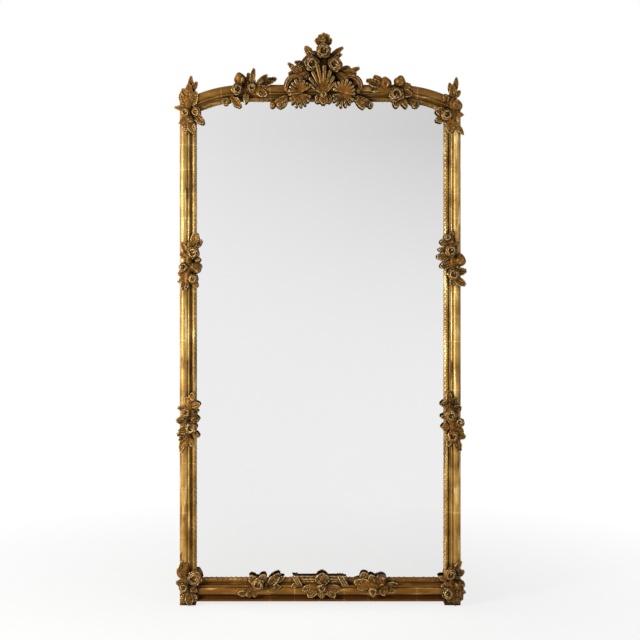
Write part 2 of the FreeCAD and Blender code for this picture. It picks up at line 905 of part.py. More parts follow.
def lobes(radius, count, spin):
    """Face of equal round lobes about the axis."""
    valley = radius * 0.86
    edges = []
    step = 2 * math.pi / count
    for number in range(count):
        start = math.radians(spin) + step * number
        spots = [(valley, start), (radius, start + step / 2), (valley, start + step)]
        edges.append(Part.Arc(*[Vector(r * math.cos(a), r * math.sin(a), 0) for r, a in spots]).toShape())
    return Part.Face(Part.Wire(edges))


def petal_ring(radius, height, count, spin):
    """One whorl of petals under a shallow dome."""
    prism = lobes(radius, count, spin).extrude(Vector(0, 0, height))
    cap = height * 0.55
    dome = (radius * radius + cap * cap) / (2 * cap)
    ball = Part.makeSphere(dome)
    ball.translate(Vector(0, 0, height - dome))
    return prism.common(ball)


@lru_cache(None)
def rose_head(radius, spin):
    """A cupped rose: two whorls of petals round a hollow with a pearl in it, on a short stem."""
    outer = petal_ring(radius, radius * 0.46, 5, spin)
    inner = petal_ring(radius * 0.7, radius * 0.66, 5, spin + 36)
    hollow = Part.makeSphere(radius * 0.42)
    hollow.translate(Vector(0, 0, radius * 0.82))
    pearl = Part.makeSphere(radius * 0.24)
    pearl.translate(Vector(0, 0, radius * 0.5))
    stem = Part.makeCylinder(radius * 0.5, radius * 0.8, Vector(0, 0, -radius * 0.7))
    return outer.fuse([inner, stem]).cut(hollow).fuse(pearl)


def rose(x, z, radius, lift=ornament_bed - 2.6, angle=90, lean=0, spin=0):
    return set_down(rose_head(float(radius), spin).copy(), x, z, lift, angle, lean)


def bud(x, z, radius, lift=ornament_bed - 9, angle=90, lean=55):
    """A closed bud, a ball drawn out to a point, leaning along its heading."""
    radius = float(radius)
    length = radius * 2
    touch = radius * radius / length
    rim = math.sqrt(radius * radius - touch * touch)
    round_side = Part.Arc(Vector(0, 0, -radius), Vector(radius, 0, 0), Vector(rim, 0, touch))
    slope = Part.makeLine(Vector(rim, 0, touch), Vector(0, 0, length))
    axis = Part.makeLine(Vector(0, 0, length), Vector(0, 0, -radius))
    face = Part.Face(Part.Wire([round_side.toShape(), slope, axis]))
    body = face.revolve(Vector(0, 0, 0), Vector(0, 0, 1), 360)
    return set_down(body, x, z, lift, angle + 180, lean)


def ball(x, z, radius, lift=ornament_bed):
    shape = Part.makeSphere(float(radius))
    shape.translate(Vector(x, -float(lift), z))
    return shape


def bed(x1, z1, x2, z2, radius=bed_radius, lift=ornament_bed):
    """The rounded bed that carries a cluster, from one point to another."""
    radius = float(radius)
    depth = -(float(lift) - radius)
    start = Vector(x1, depth, z1)
    end = Vector(x2, depth, z2)
    bar = Part.makeCylinder(radius, (end - start).Length, start, end - start)
    first = Part.makeSphere(radius, start)
    last = Part.makeSphere(radius, end)
    return bar.fuse([first, last])


def rib(x, z, angle, length, lift, lean, full):
    """One flute of a fan: a slender cone with a round end, full being its share of the length."""
    length = float(length)
    tip = length * full
    cone = Part.makeCone(tip / 3, tip, length - tip, Vector(0, 0, 0), Vector(1, 0, 0))
    end = Part.makeSphere(tip, Vector(length - tip, 0, 0))
    return set_down(cone.fuse(end), x, z, lift, angle, lean)


def fan(x, z, angle, reach, lift, spread, count, full, droop=0.18, lean=8):
    """Flutes that spread from one root, the outer ones shorter."""
    ribs = []
    for number in range(count):
        share = 2 * number / (count - 1) - 1
        length = float(reach) * (1 - droop * abs(share))
        ribs.append(rib(x, z, angle + share * spread, length, lift, lean, full))
    return ribs


def scroll(x, z, start, sweep, lift, bend=scroll_bend, wire=scroll_wire):
    """A C-scroll: a round bar bent in the front view, with a ball at each end."""
    bend = float(bend)
    wire = float(wire)
    bar = Part.makeTorus(bend, wire, Vector(0, 0, 0), Vector(0, 0, 1), 0, 360, sweep)
    bar.rotate(Vector(0, 0, 0), Vector(0, 0, 1), start)
    bar.rotate(Vector(0, 0, 0), Vector(1, 0, 0), 90)
    bar.translate(Vector(x, -float(lift), z))
    ends = []
    for angle in (start, start + sweep):
        spot = Vector(x, -float(lift), z) + heading(angle) * bend
        ends.append(Part.makeSphere(wire * 1.15, spot))
    return bar.fuse(ends)


SEATS = [doc.getObject(name).Shape for name in (
    "moulding_left", "moulding_right", "moulding_bottom", "moulding_top",
    "sight_slip_left", "sight_slip_right", "sight_slip_bottom", "sight_slip_top",
    "carcass_left", "carcass_right", "carcass_bottom", "carcass_top",
    "mirror_glass", "base_rail", "foot_left", "foot_right", "crest_backplate")]
CRUMB = 700
ornaments = []


def ornament(name, x, z, pieces):
    """Joins the pieces of one cluster, moves it to its place and seats it on what is already there."""
    whole = pieces[0]
    for piece in pieces[1:]:
        whole = whole.fuse(piece)
    whole.translate(Vector(float(x), 0, float(z)))
    for seat in SEATS:
        if seat.BoundBox.intersect(whole.BoundBox):
            whole = whole.cut(seat)
    kept = [solid for solid in whole.Solids if solid.Volume > CRUMB]
    shape = kept[0] if len(kept) == 1 else Part.makeCompound(kept)
    SEATS.append(shape)
    ornaments.append(name)
    return solid_feature(name, shape)


# Places of the ornament clusters
spray_level = crown - spray_drop
corner_x = half_width - face_width / 2
corner_z = crown - corner_drop
low_corner_z = foot_line + low_corner_rise
rail_z = foot_line + rail_rise

# Crest, about the middle of the crown
crest_lift = plate_front + crest_stand
ornament("crest_palmette", 0, crown, [
    bed(10, -34, 10, 40, radius=bed_radius + 4),
    leaf(2, -38, 252, leaf_short),
    leaf(18, -38, 288, leaf_short),
    leaf(10, -38, 270, leaf_short, leaf_broad, lift=ornament_bed),
] + fan(10, -36, 90, palmette_reach, ornament_bed + 2, 27, 7, full=0.09))
ornament("crest_roses", 0, crown, [
    bed(-24, 60, 46, 58, radius=bed_radius + 6, lift=crest_lift + 8),
    bed(10, 60, 10, 108, radius=bed_radius + 6, lift=crest_lift + 8),
    rose(10, 103, rose_large, lift=crest_lift + 14),
    rose(-27, 63, rose_large, lift=crest_lift + 14, spin=20, angle=150, lean=10),
    rose(47, 60, rose_large, lift=crest_lift + 14, spin=50, angle=20, lean=10),
])
ornament("crest_bud", 10, crown + 122, [
    bed(0, -4, 0, 8, lift=crest_lift + 2),
    leaf(-6, 4, 148, leaf_short, leaf_broad, lift=crest_lift + 4),
    leaf(-3, 6, 120, leaf_short, leaf_broad, lift=crest_lift + 6),
    leaf(2, 8, 92, leaf_short, leaf_broad, lift=crest_lift + 8),
    leaf(5, 6, 63, leaf_short, leaf_broad, lift=crest_lift + 6),
    leaf(8, 4, 34, leaf_short, leaf_broad, lift=crest_lift + 4),
    bud(0, 8, bud_small, lift=crest_lift + 8, angle=90, lean=60),
])
ornament("crest_leaves_left", 0, crown, [
    bed(-74, 42, -40, 60, lift=crest_lift + 2),
    bed(-42, 58, -27, 88, radius=bed_radius - 4, lift=crest_lift + 3),
    leaf(-30, 90, 118, leaf_middle, leaf_broad, lift=crest_lift + 2),
    leaf(-80, 46, 135, leaf_short, lift=crest_lift),
    leaf(-68, 46, 100, leaf_tiny, lift=crest_lift + 2),
    leaf(-64, 40, 152, leaf_middle, leaf_broad, lift=crest_lift + 2),
    leaf(-52, 62, 162, leaf_short, lift=crest_lift + 2),
    leaf(-70, 34, 182, leaf_short, leaf_broad, lift=crest_lift),
])
ornament("crest_leaves_right", 0, crown, [
    bed(66, 46, 92, 40, lift=crest_lift + 2),
    leaf(38, 92, 36, leaf_middle, lift=crest_lift),
    leaf(40, 86, 8, leaf_short, lift=crest_lift),
    leaf(96, 40, 24, leaf_short, lift=crest_lift),
    leaf(74, 48, 20, leaf_tiny, lift=crest_lift + 2),
    leaf(72, 38, 352, leaf_middle, leaf_broad, lift=crest_lift),
    leaf(56, 72, 16, leaf_short, lift=crest_lift + 2),
])
ornament("crest_shell_left", 0, crown, [
    bed(-62, -26, -98, 6),
    scroll(-72, -10, 86, 104, crest_lift + 6),
] + fan(-62, -28, 112, shell_reach, ornament_bed + 3, 78, 9, full=0.12)
  + fan(-64, -30, 264, shell_reach, ornament_bed, 54, 6, full=0.13, lean=2))
ornament("crest_shell_right", 0, crown, [
    bed(72, -26, 112, 4),
    scroll(88, -16, -8, 100, crest_lift + 6),
] + fan(73, -28, 76, shell_reach, ornament_bed + 3, 84, 9, full=0.12)
  + fan(72, -30, 272, shell_reach, ornament_bed, 54, 6, full=0.13, lean=2))
ornament("crest_drop_left", 0, crown, [
    bed(-104, -44, -148, -60, radius=bed_radius - 4, lift=ornament_bed - 4),
    leaf(-106, -42, 206, leaf_middle),
    leaf(-108, -52, 228, leaf_short),
    ball(-150, -66, bud_small, lift=ornament_bed - 5),
    ball(-130, -64, bud_small, lift=ornament_bed - 6),
])
ornament("crest_drop_right", 0, crown, [
    bed(116, -42, 150, -60, radius=bed_radius - 4, lift=ornament_bed - 4),
    leaf(110, -44, -22, leaf_long, leaf_broad),
    leaf(118, -52, -52, leaf_short),
    ball(158, -66, bud_small, lift=ornament_bed - 5),
    ball(136, -66, bud_small, lift=ornament_bed - 8),
])

# Sprays on the shoulders of the arch
ornament("spray_left", -spray_place, spray_level, [
    bed(-40, -8, 34, -4),
    bed(-40, -6, -30, 26, lift=ornament_bed - 6),
    bed(4, -4, 4, 24, lift=ornament_bed - 6),
    bed(-44, -10, -66, -40, radius=stem_radius, lift=ornament_bed - 9),
    rose(-40, -4, rose_middle, spin=10, angle=180, lean=12),
    rose(6, 0, rose_small, spin=40),
    bud(-30, 28, bud_large, angle=110, lean=50),
    leaf(7, 20, 82, leaf_middle, lift=ornament_bed - 5),
    leaf(-1, 18, 98, leaf_short, lift=ornament_bed - 7),
    leaf(24, 14, 42, leaf_middle, lift=ornament_bed - 4),
    leaf(34, 10, 22, leaf_long, leaf_broad, lift=ornament_bed - 7),
    leaf(24, 0, 4, leaf_short),
    leaf(26, -10, -26, leaf_short, leaf_broad),
    leaf(-50, -36, 312, leaf_short, leaf_broad, lift=ornament_bed - 6),
    leaf(-10, -18, 262, leaf_short),
    scroll(-74, -42, 20, 250, ornament_bed - 10, curl_bend, curl_wire),
])
ornament("spray_right", spray_place, spray_level, [
    bed(-34, -2, 34, -10),
    bed(18, -4, 28, 20, lift=ornament_bed - 6),
    bed(-22, -4, -18, 18, lift=ornament_bed - 6),
    bed(34, -24, 66, -46, radius=stem_radius, lift=ornament_bed - 10),
    rose(18, -22, rose_large, spin=30, angle=-60, lean=8),
    bud(29, 19, bud_large, angle=80, lean=45),
    bud(-15, 15, bud_large, angle=110, lean=50),
    leaf(-38, 10, 160, leaf_middle, leaf_broad),
    leaf(-32, 16, 132, leaf_short, leaf_broad),
    leaf(-36, -4, 186, leaf_short),
    leaf(34, 2, 14, leaf_short, leaf_broad),
    leaf(36, -14, -14, leaf_short, leaf_broad),
    leaf(20, -40, 262, leaf_tiny, leaf_broad),
    leaf(36, -36, 300, leaf_short),
    scroll(78, -50, 200, 250, ornament_bed - 12, curl_bend, curl_wire),
])

# Top corners
ornament("corner_top_left", -corner_x, corner_z, [
    bed(0, 34, 0, -36),
    bed(0, 30, 8, 66, radius=bed_radius - 2, lift=ornament_bed - 8),
    leaf(8, 66, 88, leaf_middle, lift=ornament_bed - 10),
    leaf(15, 62, 64, leaf_short, lift=ornament_bed - 8),
    leaf(-4, 50, 138, leaf_tiny, leaf_broad, lift=ornament_bed - 4),
    leaf(3, 30, 90, leaf_long, leaf_broad, lift=ornament_bed - 3),
    leaf(-10, 16, 108, leaf_middle, leaf_broad, lift=ornament_bed - 5),
    leaf(14, 18, 74, leaf_middle, leaf_broad, lift=ornament_bed - 5),
    leaf(-12, 6, 178, leaf_short),
    rose(-8, -8, rose_small, spin=40),
    rose(26, -6, rose_small, spin=15, angle=20, lean=14),
    bud(8, -30, bud_middle, angle=300, lean=40),
    leaf(28, -20, 312, leaf_short, leaf_broad),
    leaf(-4, -44, 260, leaf_short, leaf_broad),
    leaf(8, -44, 290, leaf_short, leaf_broad),
    leaf(-12, -30, 226, leaf_tiny),
])
ornament("corner_top_right", corner_x, corner_z, [
    bed(0, 32, 0, -40),
    bed(0, 30, 2, 62, radius=bed_radius - 2, lift=ornament_bed - 8),
    leaf(8, 62, 84, leaf_middle, lift=ornament_bed - 10),
    leaf(-6, 56, 97, leaf_short, lift=ornament_bed - 8),
    leaf(12, 44, 58, leaf_tiny, lift=ornament_bed - 4),
    leaf(2, 26, 94, leaf_long, leaf_broad, lift=ornament_bed - 4),
    bud(-20, 36, bud_middle, angle=120, lean=50),
    bud(13, 14, bud_large, angle=100, lean=40),
    rose(-20, -16, rose_middle, spin=25, angle=200, lean=8),
    leaf(-32, -6, 168, leaf_tiny, leaf_broad),
    leaf(-32, -26, 198, leaf_tiny, leaf_broad),
    leaf(14, -14, -6, leaf_tiny),
    leaf(6, -40, 184, leaf_short),
    leaf(10, -44, 304, leaf_middle),
    leaf(-6, -42, 260, leaf_short, leaf_broad),
])

# Clusters on the stiles
ornament("cluster_left_upper", -corner_x, stile_cluster_place, [
    bed(6, 52, -2, -66),
    leaf(20, 58, 80, leaf_short, leaf_broad),
    leaf(18, 46, 38, leaf_short, leaf_broad),
    rose(16, 26, rose_middle, spin=12, angle=40, lean=8),
    leaf(-6, 30, 118, leaf_short),
    leaf(-8, 12, 150, leaf_tiny),
    bud(30, 3, bud_small, angle=0, lean=40),
    bud(24, -22, bud_large, angle=300, lean=30),
    rose(-14, -20, rose_small, spin=50, angle=200, lean=8),
    leaf(-12, -38, 186, leaf_tiny, leaf_broad),
    leaf(-14, -56, 214, leaf_tiny),
    rose(16, -56, rose_small, spin=20),
    leaf(-8, -64, 258, leaf_short, leaf_broad),
    leaf(18, -66, 300, leaf_tiny),
])
ornament("cluster_left_lower", -corner_x, -stile_cluster_place, [
    bed(4, 56, -4, -70),
    bud(14, 62, bud_small, angle=85, lean=70),
    leaf(12, 62, 88, leaf_tiny),
    leaf(4, 50, 122, leaf_tiny, leaf_broad),
    leaf(18, 40, 18, leaf_tiny, leaf_broad),
    leaf(-12, 32, 168, leaf_tiny),
    rose(-8, 20, rose_small, spin=30, angle=180, lean=8),
    leaf(14, 16, 24, leaf_tiny),
    leaf(-16, -4, 184, leaf_tiny, leaf_broad),
    bud(20, -2, bud_middle, angle=0, lean=60),
    rose(10, -28, rose_middle, spin=5, angle=0, lean=6),
    leaf(-10, -32, 208, leaf_tiny, leaf_broad),
    leaf(-14, -46, 190, leaf_tiny),
    leaf(-10, -58, 212, leaf_tiny, leaf_broad),
    leaf(18, -46, 330, leaf_tiny),
    bud(-6, -78, bud_small, angle=190, lean=70),
    leaf(-18, -74, 262, leaf_short),
    leaf(8, -66, 284, leaf_tiny),
])
ornament("cluster_right_upper", corner_x, stile_cluster_place, [
    bed(-4, 74, 4, -58),
    leaf(-4, 72, 84, leaf_tiny),
    rose(-16, 74, rose_tiny, spin=20, angle=120, lean=10),
    leaf(-18, 58, 178, leaf_tiny, leaf_broad),
    bud(-2, 58, bud_small, angle=90, lean=20),
    leaf(8, 46, 60, leaf_tiny),
    rose(-6, 31, rose_middle, spin=45),
    leaf(-24, 34, 174, leaf_tiny),
    leaf(-18, 14, 184, leaf_short, leaf_broad),
    bud(24, 0, bud_large, angle=90, lean=70),
    leaf(-10, -8, 202, leaf_short, leaf_broad),
    rose(2, -42, rose_middle, spin=10),
    leaf(22, -34, 8, leaf_tiny, leaf_broad),
    leaf(14, -60, 328, leaf_short, leaf_broad),
    leaf(0, -58, 266, leaf_tiny),
])
ornament("cluster_right_lower", corner_x, -stile_cluster_place, [
    bed(-6, 60, 6, -72),
    leaf(-12, 58, 92, leaf_short),
    leaf(-16, 46, 182, leaf_tiny, leaf_broad),
    leaf(2, 38, 80, leaf_short, leaf_broad),
    rose(-6, 11, rose_middle, spin=8, angle=20, lean=6),
    leaf(10, 26, 48, leaf_tiny, leaf_broad),
    leaf(-16, 6, 178, leaf_tiny),
    rose(23, -10, rose_small, spin=33, angle=10, lean=14),
    leaf(-14, -26, 184, leaf_tiny, leaf_broad),
    leaf(6, -16, 262, leaf_short, leaf_broad),
    leaf(18, -28, 320, leaf_tiny),
    rose(-2, -54, rose_middle, spin=20),
    leaf(20, -50, 338, leaf_tiny, leaf_broad),
    leaf(12, -72, 290, leaf_short, leaf_broad),
    leaf(-8, -66, 246, leaf_tiny),
])

# Bottom corners, hanging over the feet
ornament("corner_bottom_left", -corner_x, low_corner_z, [
    bed(-8, 60, -2, -30),
    leaf(-16, 66, 94, leaf_middle, lift=ornament_bed - 8),
    leaf(-14, 46, 98, leaf_short, leaf_broad, lift=ornament_bed - 5),
    leaf(-16, 26, 122, leaf_short, leaf_broad),
    rose(22, 22, rose_large, spin=28, angle=30, lean=8),
    leaf(-16, 6, 174, leaf_tiny, leaf_broad),
    rose(-14, -8, rose_small, spin=50, angle=200, lean=10),
    bud(18, -14, bud_middle, angle=340, lean=40),
    ball(24, -36, bud_small, lift=ornament_bed - 6),
    leaf(-8, -34, 250, leaf_short, leaf_broad),
    leaf(4, -33, 274, leaf_short, leaf_broad),
    leaf(14, -32, 300, leaf_tiny, leaf_broad),
])
ornament("corner_bottom_right", corner_x, low_corner_z, [
    bed(0, 46, 0, -32),
    rose(-8, 34, rose_middle, spin=18, angle=110, lean=8),
    leaf(10, 50, 58, leaf_short),
    leaf(16, 36, 18, leaf_tiny, leaf_broad),
    bud(20, 0, bud_large, angle=150, lean=30),
    rose(-16, -26, rose_middle, spin=40, angle=230, lean=8),
    leaf(-24, 18, 162, leaf_tiny),
    leaf(-8, 4, 196, leaf_short),
    leaf(-6, -34, 254, leaf_tiny, leaf_broad),
    leaf(8, -34, 276, leaf_short, leaf_broad),
    leaf(18, -30, 300, leaf_tiny, leaf_broad),
    leaf(22, -16, 332, leaf_tiny),
])

# Ribbon and sprays on the bottom rail
ornament("base_ribbon", 0, rail_z, [
    bed(-ribbon_half.value, 10, ribbon_half.value, 10, radius=ribbon_radius, lift=ornament_bed - 2),
    bed(-30, -12, 36, -12),
    bed(-78, 28, -62, 0, radius=stem_radius - 1, lift=ornament_bed + 2),
    bed(64, 16, 84, -10, radius=stem_radius - 1, lift=ornament_bed + 2),
    rose(5, -12, rose_small, spin=20),
    leaf(-8, 8, 50, leaf_short, leaf_broad),
    leaf(20, 8, 130, leaf_short, leaf_broad, lift=ornament_bed),
    leaf(-26, -14, 188, leaf_short, leaf_broad),
    leaf(34, -14, -8, leaf_short, leaf_broad),
    leaf(-16, -20, 222, leaf_short, leaf_broad),
    leaf(24, -20, 318, leaf_short, leaf_broad),
    leaf(4, -24, 270, leaf_tiny, leaf_broad),
    leaf(-64, 2, 206, leaf_short, lift=ornament_bed - 6),
])
ornament("base_spray_left", -base_spray_left, rail_z - 6, [
    bed(-26, -16, 40, 2),
    rose(0, 5, rose_middle, spin=10),
    bud(-28, -24, bud_middle, angle=200, lean=30),
    leaf(-42, -24, 180, leaf_tiny),
    leaf(-12, 14, 128, leaf_tiny, leaf_broad),
    leaf(12, 16, 60, leaf_tiny, leaf_broad),
    leaf(38, 6, 46, leaf_middle, leaf_broad),
    leaf(44, 10, 22, leaf_middle, lift=ornament_bed - 6),
    leaf(42, -2, -4, leaf_short),
    leaf(34, -8, 326, leaf_tiny),
    leaf(-6, -16, 252, leaf_tiny),
])
ornament("base_spray_right", base_spray_right, rail_z - 6, [
    bed(-40, 4, 34, -6),
    bed(-40, 4, -46, 22, radius=stem_radius, lift=ornament_bed - 8),
    leaf(-44, 26, 24, leaf_tiny, leaf_broad, lift=ornament_bed - 6),
    leaf(-42, 14, 318, leaf_short, leaf_broad),
    leaf(-40, 6, 168, leaf_short, leaf_broad),
    leaf(-10, 14, 118, leaf_tiny, leaf_broad),
    bud(15, 16, bud_large, angle=60, lean=30),
    rose(-12, -19, rose_small, spin=33, angle=240, lean=8),
    leaf(32, -4, -28, leaf_short, leaf_broad),
    leaf(36, 2, 4, leaf_short),
    leaf(14, -14, 306, leaf_tiny),
    leaf(-30, -4, 190, leaf_short),
])

doc.recompute()

NAMES = [
    "moulding_left", "moulding_right", "moulding_bottom", "moulding_top",
    "sight_slip_left", "sight_slip_right", "sight_slip_bottom", "sight_slip_top",
    "carcass_left", "carcass_right", "carcass_bottom", "carcass_top", "corner_keys",
    "mirror_glass", "setting_pads", "glazing_blocks", "cross_batten", "wall_strips",
    "crest_backplate", "crest_brace", "base_rail", "foot_left", "foot_right",
    "hanger_left", "hanger_right", "hanging_ring_left", "hanging_ring_right",
    "backboard_screws", "hanger_screws", "brace_screws", "batten_screws",
] + [f"backboard_{number}" for number in range(1, BOARDS + 1)] + ornaments

for item in doc.Objects:
    if "Invalid" in item.State or "Error" in item.State:
        raise RuntimeError(f"{item.Label} did not build: {item.State}")

os.makedirs("parts", exist_ok=True)
for name in NAMES:
    part = doc.getObject(name)
    if part.Shape.isNull() or not part.Shape.isValid():
        raise RuntimeError(f"{name} is not a valid shape")
    part.Shape.exportStep(f"parts/{name}.step")
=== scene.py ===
import math
import random

import bpy
import numpy as np
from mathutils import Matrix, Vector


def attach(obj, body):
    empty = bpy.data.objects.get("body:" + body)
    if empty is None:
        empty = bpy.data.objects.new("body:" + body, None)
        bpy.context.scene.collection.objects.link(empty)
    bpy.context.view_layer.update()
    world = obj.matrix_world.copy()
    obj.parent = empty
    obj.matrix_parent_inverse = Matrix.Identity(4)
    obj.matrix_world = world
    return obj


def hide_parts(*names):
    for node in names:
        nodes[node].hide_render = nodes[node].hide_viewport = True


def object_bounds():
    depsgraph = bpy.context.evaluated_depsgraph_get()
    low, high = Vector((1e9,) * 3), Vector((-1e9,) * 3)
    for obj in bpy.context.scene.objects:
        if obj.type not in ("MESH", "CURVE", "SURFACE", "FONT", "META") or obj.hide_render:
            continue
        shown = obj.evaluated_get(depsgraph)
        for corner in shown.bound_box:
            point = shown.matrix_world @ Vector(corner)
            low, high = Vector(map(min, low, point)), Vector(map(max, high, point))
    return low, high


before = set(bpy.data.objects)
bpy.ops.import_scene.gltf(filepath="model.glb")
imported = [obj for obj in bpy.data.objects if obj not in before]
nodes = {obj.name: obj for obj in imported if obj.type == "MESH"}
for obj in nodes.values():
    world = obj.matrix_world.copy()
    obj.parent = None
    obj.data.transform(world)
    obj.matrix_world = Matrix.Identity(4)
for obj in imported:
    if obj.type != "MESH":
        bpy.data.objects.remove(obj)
cad_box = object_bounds()
MM = 0.001

# Lines of the frame that the carving is set out from, in millimetres
CROWN = 802.5
HALF_WIDTH = 442
FLAT_HALF = 236
SHOULDER_RADIUS = 400
BED = 59
BED_RADIUS = 14
CREST_BED = 48
CORNER_X = 415.5
CORNER_Z = CROWN - 81
CLUSTER_Z = 248
SPRAY_X = 221
SPRAY_Z = CROWN - 12
LOW_CORNER_Z = 34 - CROWN
RAIL_Z = 38 - CROWN

# Sizes of the carved pieces, in millimetres
LONG, MIDDLE, SHORT, TINY = 62, 50, 38, 28
NARROW, BROAD = 18, 26
ROSE_LARGE, ROSE_MIDDLE, ROSE_SMALL, ROSE_TINY = 25, 20, 16, 12
BUD_LARGE, BUD_MIDDLE, BUD_SMALL = 17, 13, 9
PALMETTE, SHELL = 104, 45
SCROLL_BEND, SCROLL_WIRE = 34, 11
CURL_BEND, CURL_WIRE = 9, 5
STEM = 7
RIBBON_HALF, RIBBON_RADIUS = 78, 9
BASE_LEFT_X, BASE_RIGHT_X = -196, 176
BASE_SPRAY_Z = RAIL_Z - 6
REED_END = RIBBON_HALF + 6
REED_RADIUS, BINDING_RADIUS = 3.2, 2.7
TIP_PITCH, TIP_ROOT, TIP_LIFT = 15.5, 44.5, 44.4
TIP_LENGTH, TIP_HALF, TIP_RISE, TIP_THICK = 9.4, 6.4, 3.6, 3.0
TIP_LEAN = -32
TIP_LOST = 0.05

# The carver's surface, in metres
SKIN_VOXEL = 0.0013
CHISEL_SCALE = 0.009
CHISEL_DEPTH = 0.0012

# Where the picture is taken from
PICTURE = 640
PIXEL = 3.136 * MM
PICTURE_MIDDLE = (-0.001, 0.0626)
EYE = (-0.08, -3.86, 0.25)
FACE_PLANE = -0.055
SENSOR = 36

chance = random.Random(11)


# Closed surfaces, each a pair of points and faces

def skin(rings):
    """Closed surface through equal rings of points, capped at both ends."""
    count, around = rings.shape[:2]
    index = np.arange(count * around).reshape(count, around)
    here, after = index[:-1], index[1:]
    quads = np.stack([here, np.roll(here, -1, 1), np.roll(after, -1, 1), after], axis=2)
    faces = quads.reshape(-1, 4).tolist()
    faces.append(index[0, ::-1].tolist())
    faces.append(index[-1].tolist())
    return rings.reshape(-1, 3), faces


def unit(vectors):
    """Vectors brought to length one."""
    return vectors / np.maximum(np.linalg.norm(vectors, axis=-1, keepdims=True), 1e-9)


def shell(x, y, z, thick):
    """Closed blade whose front is the surface x, y, z, grown backwards by thick."""
    front = np.stack(np.broadcast_arrays(x, y, z), axis=2).astype(float)
    out = unit(np.cross(np.gradient(front, axis=0), np.gradient(front, axis=1)))
    back = front - out * np.broadcast_to(thick, front.shape[:2])[..., None]
    return skin(np.concatenate([front[:, ::-1], back], axis=1))


def tube(path, radii, sides=14, groove=0.0, flutes=1):
    """Round bar along a path that lies face up, with one or three grooves along its top."""
    path = np.asarray(path, float)
    ahead = unit(np.gradient(path, axis=0))
    side = unit(np.cross([0.0, 0.0, 1.0], ahead))
    lift = np.cross(ahead, side)
    angle = np.linspace(0, 2 * np.pi, sides, endpoint=False)
    cut = 1 - groove * np.exp(-((angle - np.pi / 2) / (0.45 if flutes == 1 else 0.22)) ** 2)
    if flutes == 3:
        for beside in (-0.85, 0.85):
            cut = cut - groove * np.exp(-((angle - np.pi / 2 - beside) / 0.2) ** 2)
    spread = np.broadcast_to(radii, len(path))[:, None] * cut
    sideways = side[:, None] * (np.cos(angle) * spread)[..., None]
    upwards = lift[:, None] * (np.sin(angle) * spread)[..., None]
    return skin(path[:, None] + sideways + upwards)


def turned(radii, heights, sides=24, lobes=0, depth=0.0, twist=0.0):
    """Turned body whose section may swell in lobes that twist with its height."""
    angle = np.linspace(0, 2 * np.pi, sides, endpoint=False)[None]
    share = np.linspace(0, 1, len(radii))[:, None]
    reach = np.asarray(radii, float)[:, None] * (1 + depth * np.cos(lobes * angle + twist * share))
    height = np.broadcast_to(np.asarray(heights, float)[:, None], reach.shape)
    return skin(np.stack([reach * np.cos(angle), reach * np.sin(angle), height], axis=2))


def gather(shapes):
    """Several surfaces as one pair of points and faces."""
    points, faces, start = [], [], 0
    for spots, loops in shapes:
        points.append(spots)
        faces += [[start + corner for corner in loop] for loop in loops]
        start += len(spots)
    return np.concatenate(points), faces


def heading(angle):
    """Direction in the front view, counted from the right-hand side upwards."""
    turn = math.radians(angle)
    return np.array([math.cos(turn), 0.0, math.sin(turn)])


OUT = np.array([0.0, -1.0, 0.0])


def set_down(shape, x, z, lift, angle=0, lean=0):
    """Lays local x along a heading, tipped outwards by lean, with local z outwards."""
    points, faces = shape
    tip = math.radians(lean)
    ahead = heading(angle) * math.cos(tip) + OUT * math.sin(tip)
    up = OUT * math.cos(tip) - heading(angle) * math.sin(tip)
    turn = np.stack([ahead, np.cross(up, ahead), up])
    return points @ turn + np.array([x, -lift, z]), faces


# Carved pieces

def leaf(x, z, angle, length, width=NARROW, lift=BED - 3, lean=12, root=7):
    """Broad leaf with a round tip, a sunk midrib, slanting veins and a scalloped edge that curls."""
    u = np.linspace(0, 1, 36)[:, None]
    v = np.linspace(-1, 1, 19)[None]
    side = np.abs(v)
    swell = np.maximum(0.42 * (1 - u) ** 1.5, np.sin(np.pi * np.minimum(u, 0.995) ** 0.9) ** 0.55)
    half = width / 2 * swell * (1 + 0.05 * np.cos(2 * np.pi * 3.5 * u) * (1 - u)) + 0.5
    bend = length * 2.2
    arc = length * u / bend
    curl = chance.uniform(-0.42, 0.16)
    gutter = -0.12 * width * np.exp(-(v / 0.16) ** 2) * (1 - 0.6 * u)
    veins = 0.022 * width * np.sin(2 * np.pi * (6 * u - 0.9 * side)) * np.sqrt(side * (1 - side) * 4)
    lip = 0.05 * width * np.exp(-((side - 0.86) / 0.14) ** 2)
    flick = chance.uniform(-0.02, 0.1) * length * u ** 3
    thick = 3.2 + 2.2 * (1 - side ** 2) * (1 - 0.5 * u)
    rise = bend * (np.cos(arc) - 1) + gutter + curl * half * side ** 1.8 + veins + lip + flick
    blade = shell(bend * np.sin(arc), half * v, rise, thick)
    back = heading(angle) * root
    return set_down(blade, x - back[0], z - back[2], lift, angle, lean)


def petal(radius, height, hollow, angle, spread, roll):
    """One petal of a cup: it rises from the hollow and rolls over at its rim."""
    t = np.linspace(0, 1, 13)[:, None]
    s = np.linspace(-1, 1, 15)[None]
    turn = math.radians(angle) + math.radians(spread) * s
    reach = radius * (1 - 0.17 * s ** 2 + 0.03 * np.cos(2.5 * np.pi * s))
    run = hollow + (reach - hollow) * t
    rise = height * np.sin(np.pi / 2 * np.minimum(1, t * 1.25))
    rise = rise - roll * height * np.clip(t - 0.72, 0, 1) ** 2 * 9
    rise = rise * (1 - 0.1 * s ** 2) + 0.05 * radius * s
    return shell(run * np.cos(turn), run * np.sin(turn), rise, radius * 0.13)


